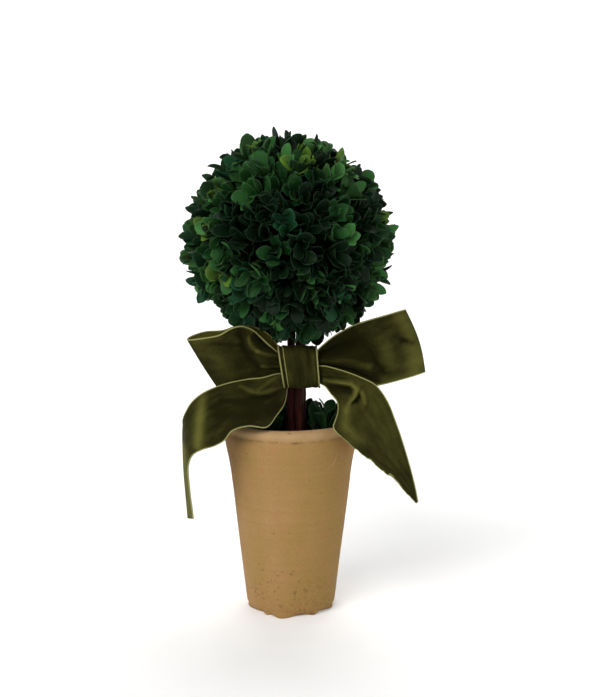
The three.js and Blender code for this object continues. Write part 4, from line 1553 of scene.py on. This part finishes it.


# Each green's share of the sprays, and the colours of a leaf's face, rim (paler, a painted highlight) and
# underside
GREENS = {
    "bottle": (0.34, (0.0022, 0.0105, 0.0028), (0.013, 0.034, 0.015), (0.0035, 0.0125, 0.0035)),
    "sea": (0.12, (0.0055, 0.0400, 0.0130), (0.024, 0.062, 0.032), (0.008, 0.032, 0.011)),
    "forest": (0.25, (0.0076, 0.0400, 0.0084), (0.027, 0.066, 0.026), (0.0085, 0.0310, 0.0085)),
    "moss": (0.16, (0.0170, 0.0730, 0.0150), (0.038, 0.088, 0.030), (0.015, 0.046, 0.011)),
    "bright": (0.12, (0.0380, 0.1400, 0.0320), (0.066, 0.140, 0.048), (0.028, 0.080, 0.020)),
    "lime": (1.00, (0.0750, 0.1650, 0.0150), (0.100, 0.165, 0.036), (0.060, 0.120, 0.018)),
}
greens = {}
for name, (share, face, rim, under) in GREENS.items():
    # A rim's paler green is a painted highlight.
    parts = (("face", face, 0.46), ("rim", rim, 0.6), ("underside", under, 0.65))
    greens[name] = [leaf_green("box_%s_%s" % (name, part), rgb, rough) for part, rgb, rough in parts]
    print(name, "for a share of", share)

# %% [markdown]
# ### The ball
#
# The foam core is a rough ball, coloured near black as painted shade, and only seen as blackness between
# the leaves. The sprays stand on a second, unseen ball just under its skin, which is fuller at a few places,
# as no clipped ball is quite round. That host also stores where the sprays are paler and darker: paler round
# the top and the sides, partly sprays that took less dye and partly painted light, and darker at the front,
# which is painted shade.

# %% The ball's core
ball_low, ball_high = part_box("leaf_ball")
BALL_CENTRE = (ball_low + ball_high) / 2
BALL_RADIUS = (ball_high.x - ball_low.x) / 2
SPRAY_DEPTH = 31 * MM  # how much of the ball's radius is leaves
CORE_RADIUS = BALL_RADIUS - SPRAY_DEPTH


def round_mesh(name, centres, radii, rings=48, flat=False):
    """One or more closed ellipsoids in one mesh. If flat, only their upper halves, closed below."""
    points, faces = [], []
    sides = 2 * rings
    steep = np.linspace(0.02, math.pi / 2 if flat else math.pi - 0.02, rings)
    top, bottom = end_faces(rings, sides)
    made = [*(face[::-1] for face in grid_faces(rings, sides, wrap=True)), top, bottom[::-1]]
    for centre, (rx, ry, rz) in zip(centres, radii):
        start = len(points)
        for a in steep:
            for k in range(sides):
                turn = k * math.tau / sides
                x, y = rx * math.sin(a) * math.cos(turn), ry * math.sin(a) * math.sin(turn)
                points.append((centre[0] + x, centre[1] + y, centre[2] + rz * math.cos(a)))
        faces += [tuple(start + k for k in face) for face in made]
    return mesh_from(name, points, faces)


# The foam core is real, but its near-black colour is painted shade for the depths between the leaves.
core_foam_and_shade = moss_material("dark_foam", (0.0015, 0.0025, 0.0015), (0.004, 0.007, 0.003))
core_mesh = round_mesh("ball_core", [BALL_CENTRE], [[CORE_RADIUS] * 3], 60)
for vert in core_mesh.vertices:
    vert.co += 1.5 * MM * noise.noise(vert.co * 90) * (vert.co - BALL_CENTRE).normalized()
core = add_object("ball_core", core_mesh, core_foam_and_shade)
finish_piece(core, "leaf", "leaf_ball")
print("core", round(2 * CORE_RADIUS / MM), "mm across, ball", round(2 * BALL_RADIUS / MM), "mm")

# %% Where the ball is paler and darker, partly as painted light and shade, and where fuller
# Each patch has a direction from the ball's middle, an amount and a spread.
# A patch above 0 draws paler greens: partly sprays that took less dye, partly painted light, broadest on the
# top and the left. The patch below 0 is painted shade: darker greens across the front.
PALER_AND_PAINTED_LIGHT = [
    ((-1.0, -0.35, -0.05), 0.26, 0.28),
    ((-0.38, -0.35, 0.85), 0.14, 0.2),
    ((0.62, -0.3, 0.76), 0.24, 0.16),
    ((-0.75, -0.5, -0.4), 0.2, 0.16),
    ((0.95, -0.25, 0.1), 0.2, 0.2),
    ((0.5, 0.8, 0.4), 0.22, 0.25),
    ((-0.5, 0.85, -0.1), 0.22, 0.25),
    ((-0.05, -1.0, 0.05), -0.42, 0.6),
    ((-0.2, -0.4, 0.9), 0.2, 0.7),
    ((-1.0, -0.5, 0.1), 0.12, 0.7),
]
FULLER = [
    ((0.6, -0.4, -0.68), 6.0, 0.40),
    ((-0.55, -0.3, 0.78), 3.0, 0.3),
    ((0.9, 0.3, -0.3), 3.0, 0.35),
    ((-0.95, -0.25, -0.2), 4.0, 0.32),
]


def patchy(place, patches):
    """The sum of soft patches at a place on the ball."""
    towards = (place - BALL_CENTRE).normalized()
    total = 0.0
    for way, amount, spread in patches:
        off = (towards - Vector(way).normalized()).length_squared
        total += amount * math.exp(-off / spread**2)
    return total


ball_host = round_mesh("ball_host", [BALL_CENTRE], [[CORE_RADIUS - 1 * MM] * 3])
for vert in ball_host.vertices:
    vert.co += patchy(vert.co, FULLER) * MM * (vert.co - BALL_CENTRE).normalized()
layer = ball_host.attributes.new("sunned", "FLOAT", "POINT")
layer.data.foreach_set("value", [patchy(vert.co, PALER_AND_PAINTED_LIGHT) for vert in ball_host.vertices])
print("host", len(ball_host.vertices), "points")

# %% [markdown]
# ### Planting the ball
#
# The sprays stand in six pieces, one for each green, and their twigs in a seventh. The pieces' shares
# follow on from one another, and the first and the last take in whatever the shift has pushed past the
# ends.


# %% Plant the ball
def plant(name, host, values, green, sprays=leaf_sprays):
    """Plants one green's share of the sprays on a host mesh."""
    settings = {"Sprays": sprays, "Kinds": SPRAYS, **values}
    settings |= dict(zip(("Face", "Rim", "Underside"), green))
    piece = run_tree(add_object("host", host.copy()), planting, settings, name)
    piece.data.shade_smooth()
    return piece


BALL = {"Seed": 11, "Spacing": 8.4 * MM, "Lean": math.radians(19), "Smallest": 0.80, "Largest": 1.0}
BALL |= {"Keep Clear Of": around_ball, "Clearance": 1.1 * MM}
BELOW_ALL, ABOVE_ALL = -1.0, 2.0  # draws stay between these, however far they are shifted
start = BELOW_ALL
for name, (share, *_) in GREENS.items():
    share += 1.0 if start == BELOW_ALL else 0.0
    shares = {"Share From": start, "Share To": start + share}
    piece = plant("ball_leaves_" + name, ball_host, BALL | shares, greens[name])
    finish_piece(piece, "leaf", "leaf_ball")
    print(name, len(piece.data.polygons) // len(LEAF_FACES), "leaves")
    start += share
all_shares = {"Share From": BELOW_ALL, "Share To": ABOVE_ALL}
twigs = plant("ball_twigs", ball_host, BALL | all_shares, [bark] * 3, twig_sprays)
finish_piece(twigs, "bark", "leaf_ball")

# %% [markdown]
# ### The leaves at the foot
#
# A few sprays are pushed into the moss around the stems to hide where they go in. The same tree plants
# them on three low mounds, in three of the greens: mostly the darkest one and the forest green.

# %% Plant the foot
FOOT_NODES = ("foot_leaves_right", "foot_leaves_left", "foot_leaves_back")
SUNK = 5 * MM  # how deep the mounds lie under the feet of the frame's own clumps
centres, radii = [], []
for node in FOOT_NODES:
    low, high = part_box(node)
    centres.append(((low.x + high.x) / 2, (low.y + high.y) / 2, low.z - SUNK))
    radii.append(((high.x - low.x) * 0.30, (high.y - low.y) * 0.30, (high.z - low.z) * 0.12))
mounds = round_mesh("mounds", centres, radii, 20, flat=True)
FOOT = {"Seed": 14, "Spacing": 6.0 * MM, "Lean": math.radians(28), "Smallest": 0.86, "Largest": 1.04}
FOOT |= {"Keep Clear Of": around_foot, "Clearance": 1.0 * MM}
for name, begin, end in (("bottle", BELOW_ALL, 0.3), ("forest", 0.3, 0.75), ("moss", 0.75, ABOVE_ALL)):
    piece = plant("foot_leaves_" + name, mounds, FOOT | {"Share From": begin, "Share To": end}, greens[name])
    finish_piece(piece, "leaf", *FOOT_NODES)
    print(name, len(piece.data.polygons) // len(LEAF_FACES), "leaves")
twigs = plant("foot_twigs", mounds, FOOT | all_shares, [bark] * 3, twig_sprays)
finish_piece(twigs, "bark", *FOOT_NODES)

# %% [markdown]
# ## Finish
#
# The helpers that only served the planting go, and the triangle count and the size of the finished model
# are printed.

# %% Tidy and finish
for helper in (around_ball, around_foot, *leaf_sprays.objects, *twig_sprays.objects):
    bpy.data.objects.remove(helper)
for collection in (leaf_sprays, twig_sprays):
    bpy.data.collections.remove(collection)
triangles = sum(len(p.vertices) - 2 for o in bpy.data.objects if "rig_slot" in o for p in o.data.polygons)
print("triangles before modifiers", triangles)
looks_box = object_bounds()
for corner in looks_box:
    print("looks", [round(v / MM, 1) for v in corner], "mm")
